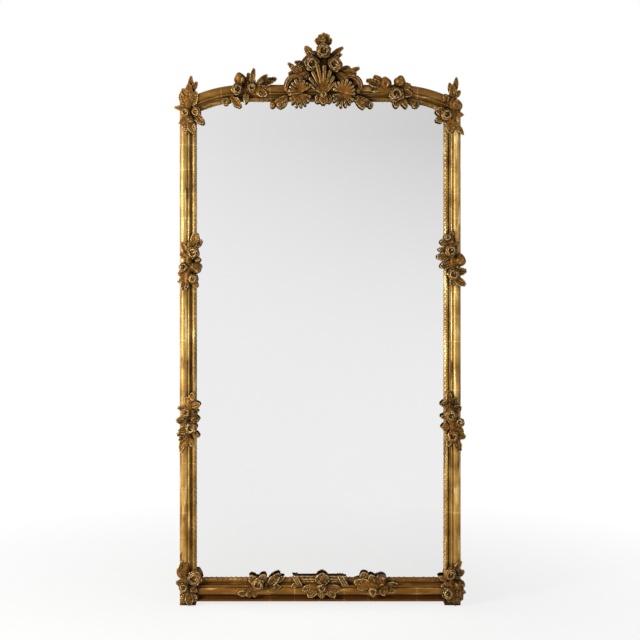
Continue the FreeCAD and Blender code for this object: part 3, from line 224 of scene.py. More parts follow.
def rose(x, z, radius, lift=BED - 2.6, angle=90, lean=0, spin=0):
    """Cupped rose: four whorls of petals round a hollow with a pearl at its side."""
    # Reach, height and hollow as shares of the radius, then petals, half spread, roll and first angle
    whorls = [
        (1.0, 0.4, 0.5, 5, 42, 0.5, 0),
        (0.83, 0.6, 0.42, 5, 43, 0.34, 36),
        (0.65, 0.72, 0.34, 4, 54, 0.2, 12),
        (0.48, 0.7, 0.3, 3, 66, 0.1, 50),
    ]
    core = np.array([[0.3, -0.7], [0.5, -0.5], [0.6, -0.1], [0.5, 0.26], [0.34, 0.42], [0.1, 0.44]]) * radius
    shapes = [turned(core[:, 0], core[:, 1])]
    for reach, height, hollow, count, spread, roll, offset in whorls:
        for number in range(count):
            turn = spin + offset + 360 / count * number + chance.uniform(-6, 6)
            high = height * radius * chance.uniform(0.86, 1.06)
            shapes.append(petal(reach * radius, high, hollow * radius, turn, spread, roll))
    shapes.append(pearl(0.16 * radius, (0.2 * radius, -0.12 * radius, 0.5 * radius)))
    return set_down(gather(shapes), x, z, lift, angle, lean)


def pearl(radius, spot):
    """Small plain ball at a spot."""
    arc = np.linspace(0.06, np.pi - 0.06, 12)
    points, faces = turned(radius * np.sin(arc), -radius * np.cos(arc), sides=16)
    return points + np.asarray(spot, float), faces


def bud(x, z, radius, lift=BED - 9, angle=90, lean=55):
    """Closed bud: petals wound to a point, held by three sepals."""
    p = np.linspace(0.015, 0.985, 24)
    heights = radius * (2.5 * p - 1)
    radii = radius * np.sin(np.pi * p ** 0.8) ** 0.66
    shapes = [turned(radii, heights, sides=30, lobes=3, depth=0.07, twist=5.0)]
    t = np.linspace(0.06, 0.7, 12)[:, None]
    s = np.linspace(-1, 1, 9)[None]
    for number in range(3):
        turn = math.radians(120 * number + 30) + math.radians(52) * s * (1 - (t / 0.74) ** 2)
        reach = radius * (np.sin(np.pi * t ** 0.8) ** 0.66 * 1.08 + 0.04 + 0.07 * np.exp(-(s / 0.25) ** 2))
        height = radius * (2.5 * t - 1)
        shapes.append(shell(reach * np.cos(turn), reach * np.sin(turn), height, -0.16 * radius))
    return set_down(gather(shapes), x, z, lift, angle + 180, lean)


def ball(x, z, radius, lift=BED):
    """Berry with a small calyx pit."""
    arc = np.linspace(0.06, np.pi - 0.06, 16)
    radii = radius * np.sin(arc)
    heights = -radius * np.cos(arc) - 0.25 * radius * np.exp(-((arc - np.pi) / 0.35) ** 2)
    return set_down(turned(radii, heights), x, z, lift)


def bed(x1, z1, x2, z2, radius=BED_RADIUS, lift=BED):
    """Rounded bed that carries a cluster, from one point to another."""
    start, end = np.array([x1, z1, 0.0]), np.array([x2, z2, 0.0])
    length = np.linalg.norm(end - start)
    arc = np.linspace(0.08, np.pi / 2, 7)
    run = np.linspace(0, length, 8)[1:-1]
    along = np.concatenate([-radius * np.cos(arc), run, length + radius * np.cos(arc[::-1])])
    reach = np.concatenate([radius * np.sin(arc), np.full(6, radius), radius * np.sin(arc[::-1])])
    path = start + unit(end - start) * along[:, None]
    return set_down(tube(path, reach, sides=20), 0, 0, lift - radius)


def rib(x, z, angle, length, lift, lean, full):
    """One flute of a fan: it widens to a round end, with a groove along its back."""
    u = np.linspace(0, 1, 26)
    tip = full * length
    reach = tip * np.minimum(1, 0.33 + 0.8 * u)
    ending = np.clip((u * length - (length - tip)) / tip, 0, 0.985)
    path = np.stack([u * length, 0 * u, 0.06 * length * np.sin(np.pi * u)], axis=1)
    flute = tube(path, reach * np.sqrt(1 - ending ** 2), sides=18, groove=0.3)
    return set_down(flute, x, z, lift, angle, lean)


def fan(x, z, angle, reach, lift, spread, count, full, droop=0.18, lean=8):
    """Flutes that spread from one root, the outer ones shorter."""
    ribs = []
    for number in range(count):
        share = 2 * number / (count - 1) - 1
        length = reach * (1 - droop * abs(share)) * chance.uniform(0.96, 1.02)
        ribs.append(rib(x, z, angle + share * spread, length, lift, lean, full))
    return ribs


def scroll(x, z, start, sweep, lift, bend=SCROLL_BEND, wire=SCROLL_WIRE):
    """C-scroll whose ends wind up, set out from the middle of its arc."""
    half = math.radians(sweep) / 2 * bend * 1.35
    step = np.linspace(0, half, 40)
    tight = np.clip((step / half - 0.4) / 0.6, 0, 1) ** 1.6
    turn = np.cumsum((1 / bend + (1 / (0.3 * bend) - 1 / bend) * tight) * (step[1] - step[0]))
    turn -= turn[0]
    middle = math.radians(start + sweep / 2)
    arms = []
    for hand in (1, -1):
        way = middle + hand * (math.pi / 2 + turn)
        walk = np.stack([np.cos(way), np.sin(way), 0 * way], axis=1) * (step[1] - step[0])
        arms.append(np.cumsum(walk, axis=0) - walk[0])
    path = np.concatenate([arms[1][::-1], arms[0][1:]])
    path += np.array([math.cos(middle), math.sin(middle), 0]) * bend
    share = np.abs(np.linspace(-1, 1, len(path)))
    path[:, 2] += 0.35 * wire * share ** 3
    radii = wire * (1 - 0.45 * share ** 2)
    shapes = [tube(path, radii, sides=40, groove=0.2, flutes=3)]
    for end in (path[0], path[-1]):
        shapes.append(pearl(wire * 0.85, end))
    points, faces = gather(shapes)
    return set_down((points * np.array([1.0, 1.0, 0.8]), faces), x, z, lift)


def bar(x1, z1, x2, z2, radius, lift, rise=0.0):
    """Slender rod between two points, bowed outwards in the middle."""
    share = np.linspace(0, 1, 16)
    bow = rise * np.sin(np.pi * share)
    path = np.stack([x1 + (x2 - x1) * share, z1 + (z2 - z1) * share, bow], axis=1)
    ends = np.sqrt(np.clip(1 - (2 * share - 1) ** 8, 0.04, 1))
    return set_down(tube(path, radius * ends, sides=16), 0, 0, lift)


def make_object(name, points, faces):
    """Smooth mesh object from points in millimetres."""
    mesh = bpy.data.meshes.new(name)
    mesh.from_pydata((points * MM).tolist(), [], faces)
    mesh.shade_smooth()
    item = bpy.data.objects.new(name, mesh)
    bpy.context.scene.collection.objects.link(item)
    return item


# Rough surface left by the carver's tools
chisel = bpy.data.textures.new("chisel", "CLOUDS")
chisel.noise_scale = CHISEL_SCALE
chisel.noise_depth = 2


def carve(node, x, z, pieces):
    """One cluster as a single skin over its pieces, in place of its CAD node."""
    points, faces = gather(pieces)
    rough = make_object(node + "_rough", points + np.array([x, 0, z]), faces)
    skinned = rough.modifiers.new("skin", "REMESH")
    skinned.mode = "VOXEL"
    skinned.voxel_size = SKIN_VOXEL
    eased = rough.modifiers.new("ease", "SMOOTH")
    eased.factor = 0.5
    eased.iterations = 1
    cut = rough.modifiers.new("cut", "DISPLACE")
    cut.texture = chisel
    cut.texture_coords = "GLOBAL"
    cut.strength = CHISEL_DEPTH
    ready = rough.evaluated_get(bpy.context.evaluated_depsgraph_get())
    mesh = bpy.data.meshes.new_from_object(ready)
    mesh.name = "carved_" + node
    mesh.materials.clear()
    mesh.shade_smooth()
    bpy.data.objects.remove(rough)
    item = bpy.data.objects.new("carved_" + node, mesh)
    bpy.context.scene.collection.objects.link(item)
    mesh.materials.append(ornament_gilt)
    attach(item, "frame")
    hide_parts(node)


# Materials

def feed(tree, socket, value):
    """Links an output to a socket, or gives the socket a fixed value."""
    if isinstance(value, bpy.types.NodeSocket):
        tree.links.new(value, socket)
    else:
        socket.default_value = value


def add_node(tree, kind, inputs=None, **settings):
    """New node with its settings and inputs."""
    made = tree.nodes.new(kind)
    for key, value in settings.items():
        setattr(made, key, value)
    for key, value in (inputs or {}).items():
        feed(tree, made.inputs[key], value)
    return made


class Shader:
    """A material whose nodes are added from its texture coordinates forwards."""

    def __init__(self, name):
        self.material = bpy.data.materials.new(name)
        self.material.use_nodes = True
        self.tree = self.material.node_tree
        self.surface = self.tree.nodes["Principled BSDF"]
        self.place = self.add("ShaderNodeTexCoord").outputs["Object"]

    def add(self, kind, inputs=None, **settings):
        return add_node(self.tree, kind, inputs, **settings)

    def noise(self, scale, detail=3.0, rough=0.5, stretch=None):
        """Noise between 0 and 1, drawn out along an axis by stretch."""
        place = self.place
        if stretch:
            place = self.add("ShaderNodeMapping", {"Vector": place, "Scale": stretch}).outputs[0]
        return self.add("ShaderNodeTexNoise", {
            "Vector": place, "Scale": scale, "Detail": detail, "Roughness": rough}).outputs[0]

    def math(self, operation, a, b=0.0, clamp=False):
        return self.add("ShaderNodeMath", {0: a, 1: b}, operation=operation, use_clamp=clamp).outputs[0]

    def span(self, value, low, high, start=0.0, end=1.0):
        """Value between low and high, spread from start to end."""
        return self.add("ShaderNodeMapRange", {
            "Value": value, "From Min": low, "From Max": high, "To Min": start, "To Max": end}).outputs[0]

    def blend(self, share, first, second, mode="MIX"):
        made = self.add("ShaderNodeMix", {0: share, 6: first, 7: second}, data_type="RGBA", blend_type=mode)
        return made.outputs[2]

    def crevice(self, distance):
        """1 in the open and 0 deep in a hollow."""
        return self.add("ShaderNodeAmbientOcclusion", {"Distance": distance}, samples=8).outputs["AO"]

    def axis(self, name):
        """Place along X, Y or Z, in metres."""
        return self.add("ShaderNodeSeparateXYZ", {0: self.place}).outputs[name]

    def set(self, **sockets):
        """Sockets of the surface by name, with _ for each space."""
        for key, value in sockets.items():
            feed(self.tree, self.surface.inputs[key.replace("_", " ")], value)

    def bump(self, height, strength, distance):
        made = self.add("ShaderNodeBump", {"Height": height, "Strength": strength, "Distance": distance})
        self.tree.links.new(made.outputs[0], self.surface.inputs["Normal"])


def srgb(red, green, blue):
    """Linear colour from the usual 0 to 255 values."""
    shares = (red / 255, green / 255, blue / 255)
    return tuple(((c + 0.055) / 1.055) ** 2.4 if c > 0.04 else c / 12.92 for c in shares) + (1.0,)


BRIGHT_LEAF = srgb(250, 224, 160)
LEAF = srgb(190, 154, 88)
DULL_LEAF = srgb(130, 96, 42)
BOLE = srgb(84, 38, 18)
# Dark brown for grime and for painted shade in the hollows of the mouldings.
GRIME_AND_SHADE = srgb(44, 26, 6)
LEVEL_SHADE = srgb(214, 172, 116)
FOOT_WARMTH = srgb(250, 226, 184)
LEAF_LAP = 0.077
CARVING_DARK, CARVING_LIGHT = srgb(36, 21, 5), srgb(150, 104, 40)
# The worn colour is partly a painted highlight; the darkest colour is grime and painted shade.
CARVING_RUDDY, CARVING_RUBBED_HIGHLIGHT, CARVING_DIRT_AND_SHADE = srgb(126, 72, 38), srgb(255, 226, 164), srgb(26, 15, 5)
PINE_DARK, PINE_LIGHT = srgb(112, 76, 44), srgb(176, 132, 84)
PINE_STAIN, PINE_SHADE = srgb(84, 56, 34), srgb(40, 28, 18)
PINE_WASH, CREST_WASH = srgb(150, 112, 52), srgb(66, 42, 18)


def moulding_gilt(name, along, tone=0.0):
    """Rubbed water gilding on a moulding: laps of the leaf, streaks of red clay, grime and painted shade in
    the hollows.
    """
    gilt = Shader(name)
    slow = {"X": (0.12, 1, 1), "Z": (1, 1, 0.12)}[along]
    patch = gilt.noise(16, 3)
    streak = gilt.noise(75, 4, 0.6, slow)
    speck = gilt.noise(520, 3, 0.6)
    wander = gilt.noise(30, 2)
    open_air = gilt.crevice(0.022)
    mellow = gilt.math("ADD", patch, gilt.math("MULTIPLY", streak, 0.8))
    mellow = gilt.span(mellow, 0.66 + tone, 1.1 + tone)
    colour = gilt.blend(mellow, DULL_LEAF, LEAF)
    # Bright streaks along the moulding: partly burnished leaf, partly painted highlight.
    colour = gilt.blend(gilt.span(streak, 0.55 + 0.2 * tone, 0.72 + 0.2 * tone), colour, BRIGHT_LEAF)
    lap = gilt.math("DIVIDE", gilt.axis(along), LEAF_LAP)
    lap = gilt.math("ADD", lap, gilt.math("MULTIPLY", wander, 0.12))
    seam = gilt.span(gilt.math("FRACT", lap), 0.0, 0.05, 1.0, 0.0)
    seam = gilt.math("MULTIPLY", seam, gilt.span(patch, 0.4, 0.6))
    colour = gilt.blend(gilt.math("MULTIPLY", seam, 0.6), colour, BRIGHT_LEAF)
    worn = gilt.noise(42, 5, 0.62, slow)
    bare = gilt.math("MULTIPLY", gilt.span(worn, 0.59, 0.68), gilt.span(speck, 0.3, 0.6, 0.55, 1.0))
    colour = gilt.blend(bare, colour, BOLE)
    # Painted shade: a tone darkens the whole member, and above it also dulls the mottling and thins the
    # bright streaks.
    if tone:
        colour = gilt.blend(min(1.0, tone * 2.2), colour, LEVEL_SHADE, "MULTIPLY")
    # Warmer and darker towards the bottom.
    foot = gilt.span(gilt.axis("Z"), -0.78, 0.3, 0.6, 0.0)
    colour = gilt.blend(foot, colour, FOOT_WARMTH, "MULTIPLY")
    # Painted shade: the hollows that the occlusion finds are darkened along with real grime; the specks are
    # grime alone.
    dirt_and_shade = gilt.span(open_air, 0.5, 0.98, 1.0, 0.0)
    dirt_and_shade = gilt.math("MULTIPLY", dirt_and_shade, gilt.span(patch, 0.25, 0.6, 1.0, 0.8))
    dirt_and_shade = gilt.math("MAXIMUM", dirt_and_shade, gilt.math("MULTIPLY", gilt.span(speck, 0.62, 0.74), 0.5))
    colour = gilt.blend(gilt.math("MULTIPLY", dirt_and_shade, 0.92), colour, GRIME_AND_SHADE)
    cover = gilt.math("SUBTRACT", 1.0, gilt.math("MAXIMUM", dirt_and_shade, bare), True)
    rough = gilt.math("ADD", gilt.span(cover, 0, 1, 0.7, 0.34), gilt.math("MULTIPLY", speck, 0.1))
    gilt.set(Base_Color=colour, Metallic=gilt.math("MULTIPLY", cover, 0.5), Roughness=rough,
             Specular_IOR_Level=0.1)
    height = gilt.math("ADD", gilt.math("MULTIPLY", speck, 0.25), gilt.math("MULTIPLY", streak, 0.6))
    height = gilt.math("SUBTRACT", height, gilt.math("MULTIPLY", bare, 0.3))
    gilt.bump(height, 0.35, 0.0012)
    return gilt.material


def carved_gilt(name):
    """Gilt carving under old brown toning, bright where the toning is worn away and where a highlight is
    painted on the high points, near black with grime and painted shade in the hollows.
    """
    gilt = Shader(name)
    patch = gilt.noise(26, 3)
    fleck = gilt.noise(150, 4, 0.6)
    speck = gilt.noise(600, 3, 0.6)
    open_air = gilt.crevice(0.026)
    edge = gilt.add("ShaderNodeNewGeometry").outputs["Pointiness"]
    mellow = gilt.span(gilt.math("ADD", patch, fleck), 0.78, 1.25)
    colour = gilt.blend(mellow, CARVING_DARK, CARVING_LIGHT)
    ruddy = gilt.math("MULTIPLY", gilt.span(gilt.noise(34, 3), 0.52, 0.64), 0.45)
    colour = gilt.blend(ruddy, colour, CARVING_RUDDY)
    # Painted highlight on the high points, partly also where the toning is worn away.
    rubbed_and_highlit = gilt.math("MULTIPLY", gilt.span(edge, 0.513, 0.555), gilt.span(fleck, 0.36, 0.6, 0.15, 1.0))
    colour = gilt.blend(rubbed_and_highlit, colour, CARVING_RUBBED_HIGHLIGHT)
    bare = gilt.math("MULTIPLY", gilt.span(patch, 0.56, 0.66), gilt.span(fleck, 0.46, 0.58))
    colour = gilt.blend(gilt.math("MULTIPLY", bare, 0.75), colour, BOLE)
    # Painted shade: concave spots and places that the occlusion finds go near black, along with real grime.
    hollow = gilt.span(edge, 0.44, 0.497, 1.0, 0.0)
    deep = gilt.span(open_air, 0.5, 0.99, 1.0, 0.0)
    dirt_and_shade = gilt.math("MAXIMUM", deep, gilt.math("MULTIPLY", hollow, 0.9))
    colour = gilt.blend(gilt.math("MULTIPLY", dirt_and_shade, 0.94), colour, CARVING_DIRT_AND_SHADE)
    cover = gilt.math("SUBTRACT", 1.0, gilt.math("MAXIMUM", dirt_and_shade, bare), True)
    gilt.set(Base_Color=colour, Metallic=gilt.math("MULTIPLY", cover, 0.32),
             Roughness=gilt.span(cover, 0, 1, 0.75, 0.36), Specular_IOR_Level=0.05)
    gilt.bump(gilt.math("ADD", fleck, gilt.math("MULTIPLY", speck, 0.5)), 0.3, 0.0012)
    return gilt.material


def mirror_silver():
    """Old silvering behind plate glass, with a painted reflection that is greyer towards the top right."""
    silver = Shader("silvered_glass")
    # Painted reflection: greyer towards the top, and more so towards the right.
    rise = silver.span(silver.axis("Z"), -0.35, 0.65)
    across = silver.span(silver.axis("X"), -0.4, 0.4, 0.09, 0.24)
    reflection_falloff = silver.math("MULTIPLY", silver.math("MULTIPLY", rise, rise), across)
    cloud = silver.math("MULTIPLY", silver.noise(1.6, 2), 0.03)
    grey = silver.math("SUBTRACT", 0.862, silver.math("ADD", reflection_falloff, cloud))
    colour = silver.add("ShaderNodeCombineColor", {0: grey, 1: grey, 2: grey}).outputs[0]
    rough = silver.span(silver.noise(240, 2), 0.3, 0.7, 0.012, 0.03)
    silver.set(Base_Color=colour, Metallic=1.0, Roughness=rough, Coat_Weight=0.25, Coat_Roughness=0.02)
    return silver.material


def old_pine(name, grain, painted=None):
    """Browned pine with its grain along one axis; painted is the wash on the faces that show."""
    wood = Shader(name)
    fibre = {"X": (0.04, 1, 1), "Z": (1, 1, 0.04)}[grain]
    ring = {"X": (0.10, 1, 1), "Z": (1, 1, 0.10)}[grain]
    warp = wood.noise(5, 3, 0.5, ring)
    across = {"X": "Z", "Z": "X"}[grain]
    lines = wood.math("ADD", wood.axis(across), wood.math("MULTIPLY", warp, 0.2))
    bands = wood.math("SINE", wood.math("MULTIPLY", lines, 300.0))
    fine = wood.noise(420, 4, 0.6, fibre)
    stain = wood.noise(7, 4)
    tone = wood.math("ADD", wood.math("MULTIPLY", bands, 0.1), fine)
    colour = wood.blend(wood.span(tone, 0.25, 0.8), PINE_DARK, PINE_LIGHT)
    colour = wood.blend(wood.span(stain, 0.45, 0.7, 0.0, 0.6), colour, PINE_STAIN)
    # Painted shade in the crevices, found by occlusion.
    colour = wood.blend(wood.span(wood.crevice(0.02), 0.3, 0.9, 0.6, 0.0), colour, PINE_SHADE)
    if painted:
        normal = wood.add("ShaderNodeNewGeometry").outputs["Normal"]
        backwards = wood.add("ShaderNodeSeparateXYZ", {0: normal}).outputs["Y"]
        shown = wood.span(backwards, 0.3, 0.6, 1.0, 0.0)
        wash = wood.math("MULTIPLY", shown, wood.span(fine, 0.3, 0.5))
        colour = wood.blend(wood.math("MULTIPLY", wash, 0.85), colour, painted)
    wood.set(Base_Color=colour, Roughness=wood.span(fine, 0.2, 0.8, 0.6, 0.85))
    wood.bump(wood.math("ADD", fine, wood.math("MULTIPLY", bands, 0.15)), 0.4, 0.0008)
    return wood.material


def worn_metal(name, dark, light, rust, roughness):
    """Mottled metal with spots of rust."""
    metal = Shader(name)
    mottle = metal.noise(140, 4, 0.6)
    grain = metal.noise(900, 3)
    colour = metal.blend(metal.span(mottle, 0.35, 0.65), dark, light)
    spots = metal.span(metal.noise(260, 4, 0.65), 0.58, 0.68)
    colour = metal.blend(metal.math("MULTIPLY", spots, 0.7), colour, rust)
    metal.set(Base_Color=colour, Metallic=metal.span(spots, 0, 1, 0.9, 0.1),
              Roughness=metal.span(mottle, 0.3, 0.7, roughness - 0.1, roughness + 0.15))
    metal.bump(grain, 0.3, 0.0004)
    return metal.material


ornament_gilt = carved_gilt("gilt_ornament")
upright_gilt = moulding_gilt("gilt_upright", "Z")
# The level members and the base are darker copies of the same gilding, as painted shade.
level_gilt = moulding_gilt("gilt_level", "X", tone=0.2)
base_gilt = moulding_gilt("gilt_base", "X", tone=0.34)
upright_pine = old_pine("pine_upright", "Z", PINE_WASH)
level_pine = old_pine("pine_level", "X", PINE_WASH)
crest_pine = old_pine("pine_crest", "X", CREST_WASH)
board_pine = old_pine("pine_boards", "X")
block_pine = old_pine("pine_blocks", "Z")
iron = worn_metal("iron", srgb(38, 34, 32), srgb(74, 68, 64), srgb(94, 52, 28), 0.5)
steel = worn_metal("steel_screws", srgb(104, 100, 94), srgb(160, 154, 146), srgb(104, 68, 42), 0.42)

FINISHES = [
    (upright_gilt, ["moulding_left", "moulding_right", "sight_slip_left", "sight_slip_right"]),
    (level_gilt, ["moulding_top", "moulding_bottom", "sight_slip_top", "sight_slip_bottom"]),
    (base_gilt, ["base_rail", "foot_left", "foot_right"]),
    (upright_pine, ["carcass_left", "carcass_right", "wall_strips"]),
    (level_pine, ["carcass_top", "carcass_bottom", "cross_batten"]),
    (crest_pine, ["crest_backplate"]),
    (block_pine, ["corner_keys", "setting_pads", "glazing_blocks"]),
    (mirror_silver(), ["mirror_glass"]),
    (iron, ["hanger_left", "hanger_right", "hanging_ring_left", "hanging_ring_right", "crest_brace"]),
    (steel, ["backboard_screws", "hanger_screws", "brace_screws", "batten_screws"]),
    (board_pine, [name for name in nodes if name.startswith("backboard_") and name != "backboard_screws"]),
]
for finish, names in FINISHES:
    for name in names:
        nodes[name].data.materials.clear()
        nodes[name].data.materials.append(finish)

# Crest, about the middle of the crown
carve("crest_palmette", 0, CROWN, [
    bed(10, -34, 10, 40, radius=BED_RADIUS + 4),
    leaf(0, -40, 232, TINY, BROAD),
    leaf(20, -40, 308, TINY, BROAD),
    leaf(10, -42, 270, TINY, BROAD, lift=BED),
    rose(10, -34, ROSE_TINY, lift=BED + 6, angle=270, lean=14),
] + fan(10, -36, 95, PALMETTE, BED + 2, 48, 8, full=0.075, droop=0.45))
carve("crest_roses", 0, CROWN, [
    bed(-24, 60, 46, 58, radius=BED_RADIUS + 6, lift=CREST_BED + 8),
    bed(10, 60, 10, 108, radius=BED_RADIUS + 6, lift=CREST_BED + 8),
    rose(10, 103, ROSE_LARGE, lift=CREST_BED + 14),
    rose(-27, 63, ROSE_LARGE, lift=CREST_BED + 14, spin=20, angle=150, lean=10),
    rose(47, 60, ROSE_LARGE, lift=CREST_BED + 14, spin=50, angle=20, lean=10),
])
carve("crest_bud", 10, CROWN + 128, [
    bed(0, -10, 0, 8, lift=CREST_BED + 2),
    leaf(-8, 2, 150, TINY, BROAD, lift=CREST_BED + 4),
    leaf(-4, 9, 116, TINY, BROAD, lift=CREST_BED + 6),
    leaf(1, 12, 92, TINY, BROAD, lift=CREST_BED + 8),
    leaf(6, 9, 66, TINY, BROAD, lift=CREST_BED + 6),
    leaf(9, 2, 36, TINY, BROAD, lift=CREST_BED + 4),
    bud(0, 8, BUD_SMALL, lift=CREST_BED + 8, angle=90, lean=60),
])
carve("crest_leaves_left", 0, CROWN, [
    bed(-74, 42, -40, 60, lift=CREST_BED + 2),
    bed(-42, 58, -27, 88, radius=BED_RADIUS - 4, lift=CREST_BED + 3),
    bed(-44, 56, -50, 26, radius=BED_RADIUS - 2, lift=CREST_BED + 1),
    leaf(-31, 94, 122, SHORT, BROAD, lift=CREST_BED + 2),
    leaf(-80, 46, 135, SHORT, lift=CREST_BED),
    leaf(-68, 46, 100, TINY, lift=CREST_BED + 2),
    leaf(-64, 40, 152, SHORT, BROAD, lift=CREST_BED + 2),
    leaf(-52, 62, 162, SHORT, lift=CREST_BED + 2),
    leaf(-70, 34, 182, SHORT, BROAD, lift=CREST_BED),
    leaf(-40, 32, 214, MIDDLE, BROAD, lift=CREST_BED + 6),
])
carve("crest_leaves_right", 0, CROWN, [
    bed(66, 46, 92, 40, lift=CREST_BED + 2),
    bed(64, 48, 62, 22, radius=BED_RADIUS - 2, lift=CREST_BED + 1),
    leaf(38, 92, 36, MIDDLE, lift=CREST_BED),
    leaf(40, 86, 16, SHORT, lift=CREST_BED),
    leaf(96, 40, 24, SHORT, lift=CREST_BED),
    leaf(74, 48, 20, TINY, lift=CREST_BED + 2),
    leaf(72, 38, 352, MIDDLE, BROAD, lift=CREST_BED),
    leaf(56, 32, 322, MIDDLE, BROAD, lift=CREST_BED + 6),
])
carve("crest_shell_left", 0, CROWN, [
    bed(-62, -26, -98, 6),
    bed(-66, 4, -90, 6, radius=BED_RADIUS - 2, lift=CREST_BED + 2),
    scroll(-72, -10, 86, 104, CREST_BED + 6),
] + fan(-62, -28, 112, SHELL, BED + 3, 78, 9, full=0.12)
  + fan(-64, -30, 264, SHELL, BED, 78, 8, full=0.13, lean=2))
carve("crest_shell_right", 0, CROWN, [
    bed(72, -26, 112, 4),
    bed(82, 4, 106, 8, radius=BED_RADIUS - 2, lift=CREST_BED + 2),
    scroll(92, -10, -8, 100, CREST_BED + 6),
] + fan(73, -28, 76, SHELL, BED + 3, 84, 9, full=0.12)
  + fan(72, -30, 272, SHELL, BED, 78, 8, full=0.13, lean=2))
carve("crest_drop_left", 0, CROWN, [
    bed(-104, -44, -148, -60, radius=BED_RADIUS - 4, lift=BED - 4),
    leaf(-106, -42, 206, MIDDLE),
    leaf(-108, -52, 228, SHORT),
    ball(-150, -66, BUD_SMALL, lift=BED - 5),
    ball(-130, -64, BUD_SMALL, lift=BED - 6),
])
carve("crest_drop_right", 0, CROWN, [
    bed(116, -42, 150, -60, radius=BED_RADIUS - 4, lift=BED - 4),
    leaf(110, -44, -22, LONG, BROAD),
    leaf(118, -52, -52, SHORT),
    ball(158, -66, BUD_SMALL, lift=BED - 5),
    ball(136, -66, BUD_SMALL, lift=BED - 8),
])

# Sprays on the shoulders of the arch
carve("spray_left", -SPRAY_X, SPRAY_Z, [
    bed(-40, -8, 34, -4),
    bed(-40, -6, -30, 26, lift=BED - 6),
    bed(4, -4, 4, 24, lift=BED - 6),
    bed(-26, 15, 2, 15, radius=BED_RADIUS - 2, lift=BED - 8),
    bed(-44, -10, -66, -40, radius=STEM, lift=BED - 9),
    rose(-40, -4, ROSE_MIDDLE, spin=10, angle=180, lean=12),
    rose(6, 0, ROSE_SMALL, spin=40),
    bud(-30, 28, BUD_LARGE, angle=110, lean=50),
    leaf(7, 20, 82, MIDDLE, lift=BED - 5),
    leaf(-1, 18, 98, SHORT, lift=BED - 7),
    leaf(24, 14, 42, MIDDLE, lift=BED - 4),
    leaf(34, 10, 22, LONG, BROAD, lift=BED - 7),
    leaf(24, 0, 4, SHORT),
    leaf(26, -10, -26, SHORT, BROAD),
    leaf(-50, -36, 312, SHORT, BROAD, lift=BED - 6),
    leaf(-10, -18, 262, SHORT),
    scroll(-74, -42, 20, 250, BED - 10, CURL_BEND, CURL_WIRE),
])
carve("spray_right", SPRAY_X, SPRAY_Z, [
    bed(-34, -2, 34, -10),
    bed(18, -4, 28, 20, lift=BED - 6),
    bed(-22, -4, -18, 18, lift=BED - 6),
    bed(34, -24, 66, -46, radius=STEM, lift=BED - 10),
    rose(18, -22, ROSE_LARGE, spin=30, angle=-60, lean=8),
    bud(29, 19, BUD_LARGE, angle=80, lean=45),
    bud(-15, 15, BUD_LARGE, angle=110, lean=50),
    leaf(-38, 10, 160, MIDDLE, BROAD),
    leaf(-32, 16, 132, SHORT, BROAD),
    leaf(-36, -4, 186, SHORT),
    leaf(34, 2, 14, SHORT, BROAD),
    leaf(36, -14, -14, SHORT, BROAD),
    leaf(20, -40, 262, TINY, BROAD),
    leaf(36, -36, 300, SHORT),
    scroll(78, -50, 200, 250, BED - 12, CURL_BEND, CURL_WIRE),
])

# Top corners
carve("corner_top_left", -CORNER_X, CORNER_Z, [
    bed(0, 34, 0, -36),
    bed(0, 30, 8, 66, radius=BED_RADIUS - 2, lift=BED - 8),
    leaf(8, 66, 88, MIDDLE, lift=BED - 10),
    leaf(15, 62, 64, SHORT, lift=BED - 8),
    leaf(-4, 50, 138, TINY, BROAD, lift=BED - 4),
    leaf(3, 30, 90, LONG, BROAD, lift=BED - 3),
    leaf(-10, 16, 108, MIDDLE, BROAD, lift=BED - 5),
    leaf(14, 18, 74, MIDDLE, BROAD, lift=BED - 5),
    leaf(-12, 6, 178, SHORT),
    rose(-8, -8, ROSE_SMALL, spin=40),
    rose(26, -6, ROSE_SMALL, spin=15, angle=20, lean=14),
    bud(8, -30, BUD_MIDDLE, angle=300, lean=40),
    leaf(28, -20, 312, SHORT, BROAD),
    leaf(-4, -44, 260, SHORT, BROAD),
    leaf(8, -44, 290, SHORT, BROAD),
    leaf(-12, -30, 226, TINY),
])
carve("corner_top_right", CORNER_X, CORNER_Z, [
    bed(0, 32, 0, -40),
    bed(0, 30, 2, 62, radius=BED_RADIUS - 2, lift=BED - 8),
    leaf(8, 62, 84, MIDDLE, lift=BED - 10),
    leaf(-6, 56, 97, SHORT, lift=BED - 8),
    leaf(12, 44, 58, TINY, lift=BED - 4),
    leaf(2, 26, 94, LONG, BROAD, lift=BED - 4),
    bud(-20, 36, BUD_MIDDLE, angle=120, lean=50),
    bud(13, 14, BUD_LARGE, angle=100, lean=40),
    rose(-20, -16, ROSE_MIDDLE, spin=25, angle=200, lean=8),
    leaf(-32, -6, 168, TINY, BROAD),
    leaf(-32, -26, 198, TINY, BROAD),
    leaf(14, -14, -6, TINY),
    leaf(6, -40, 184, SHORT),
    leaf(10, -44, 304, MIDDLE),
    leaf(-6, -42, 260, SHORT, BROAD),
])

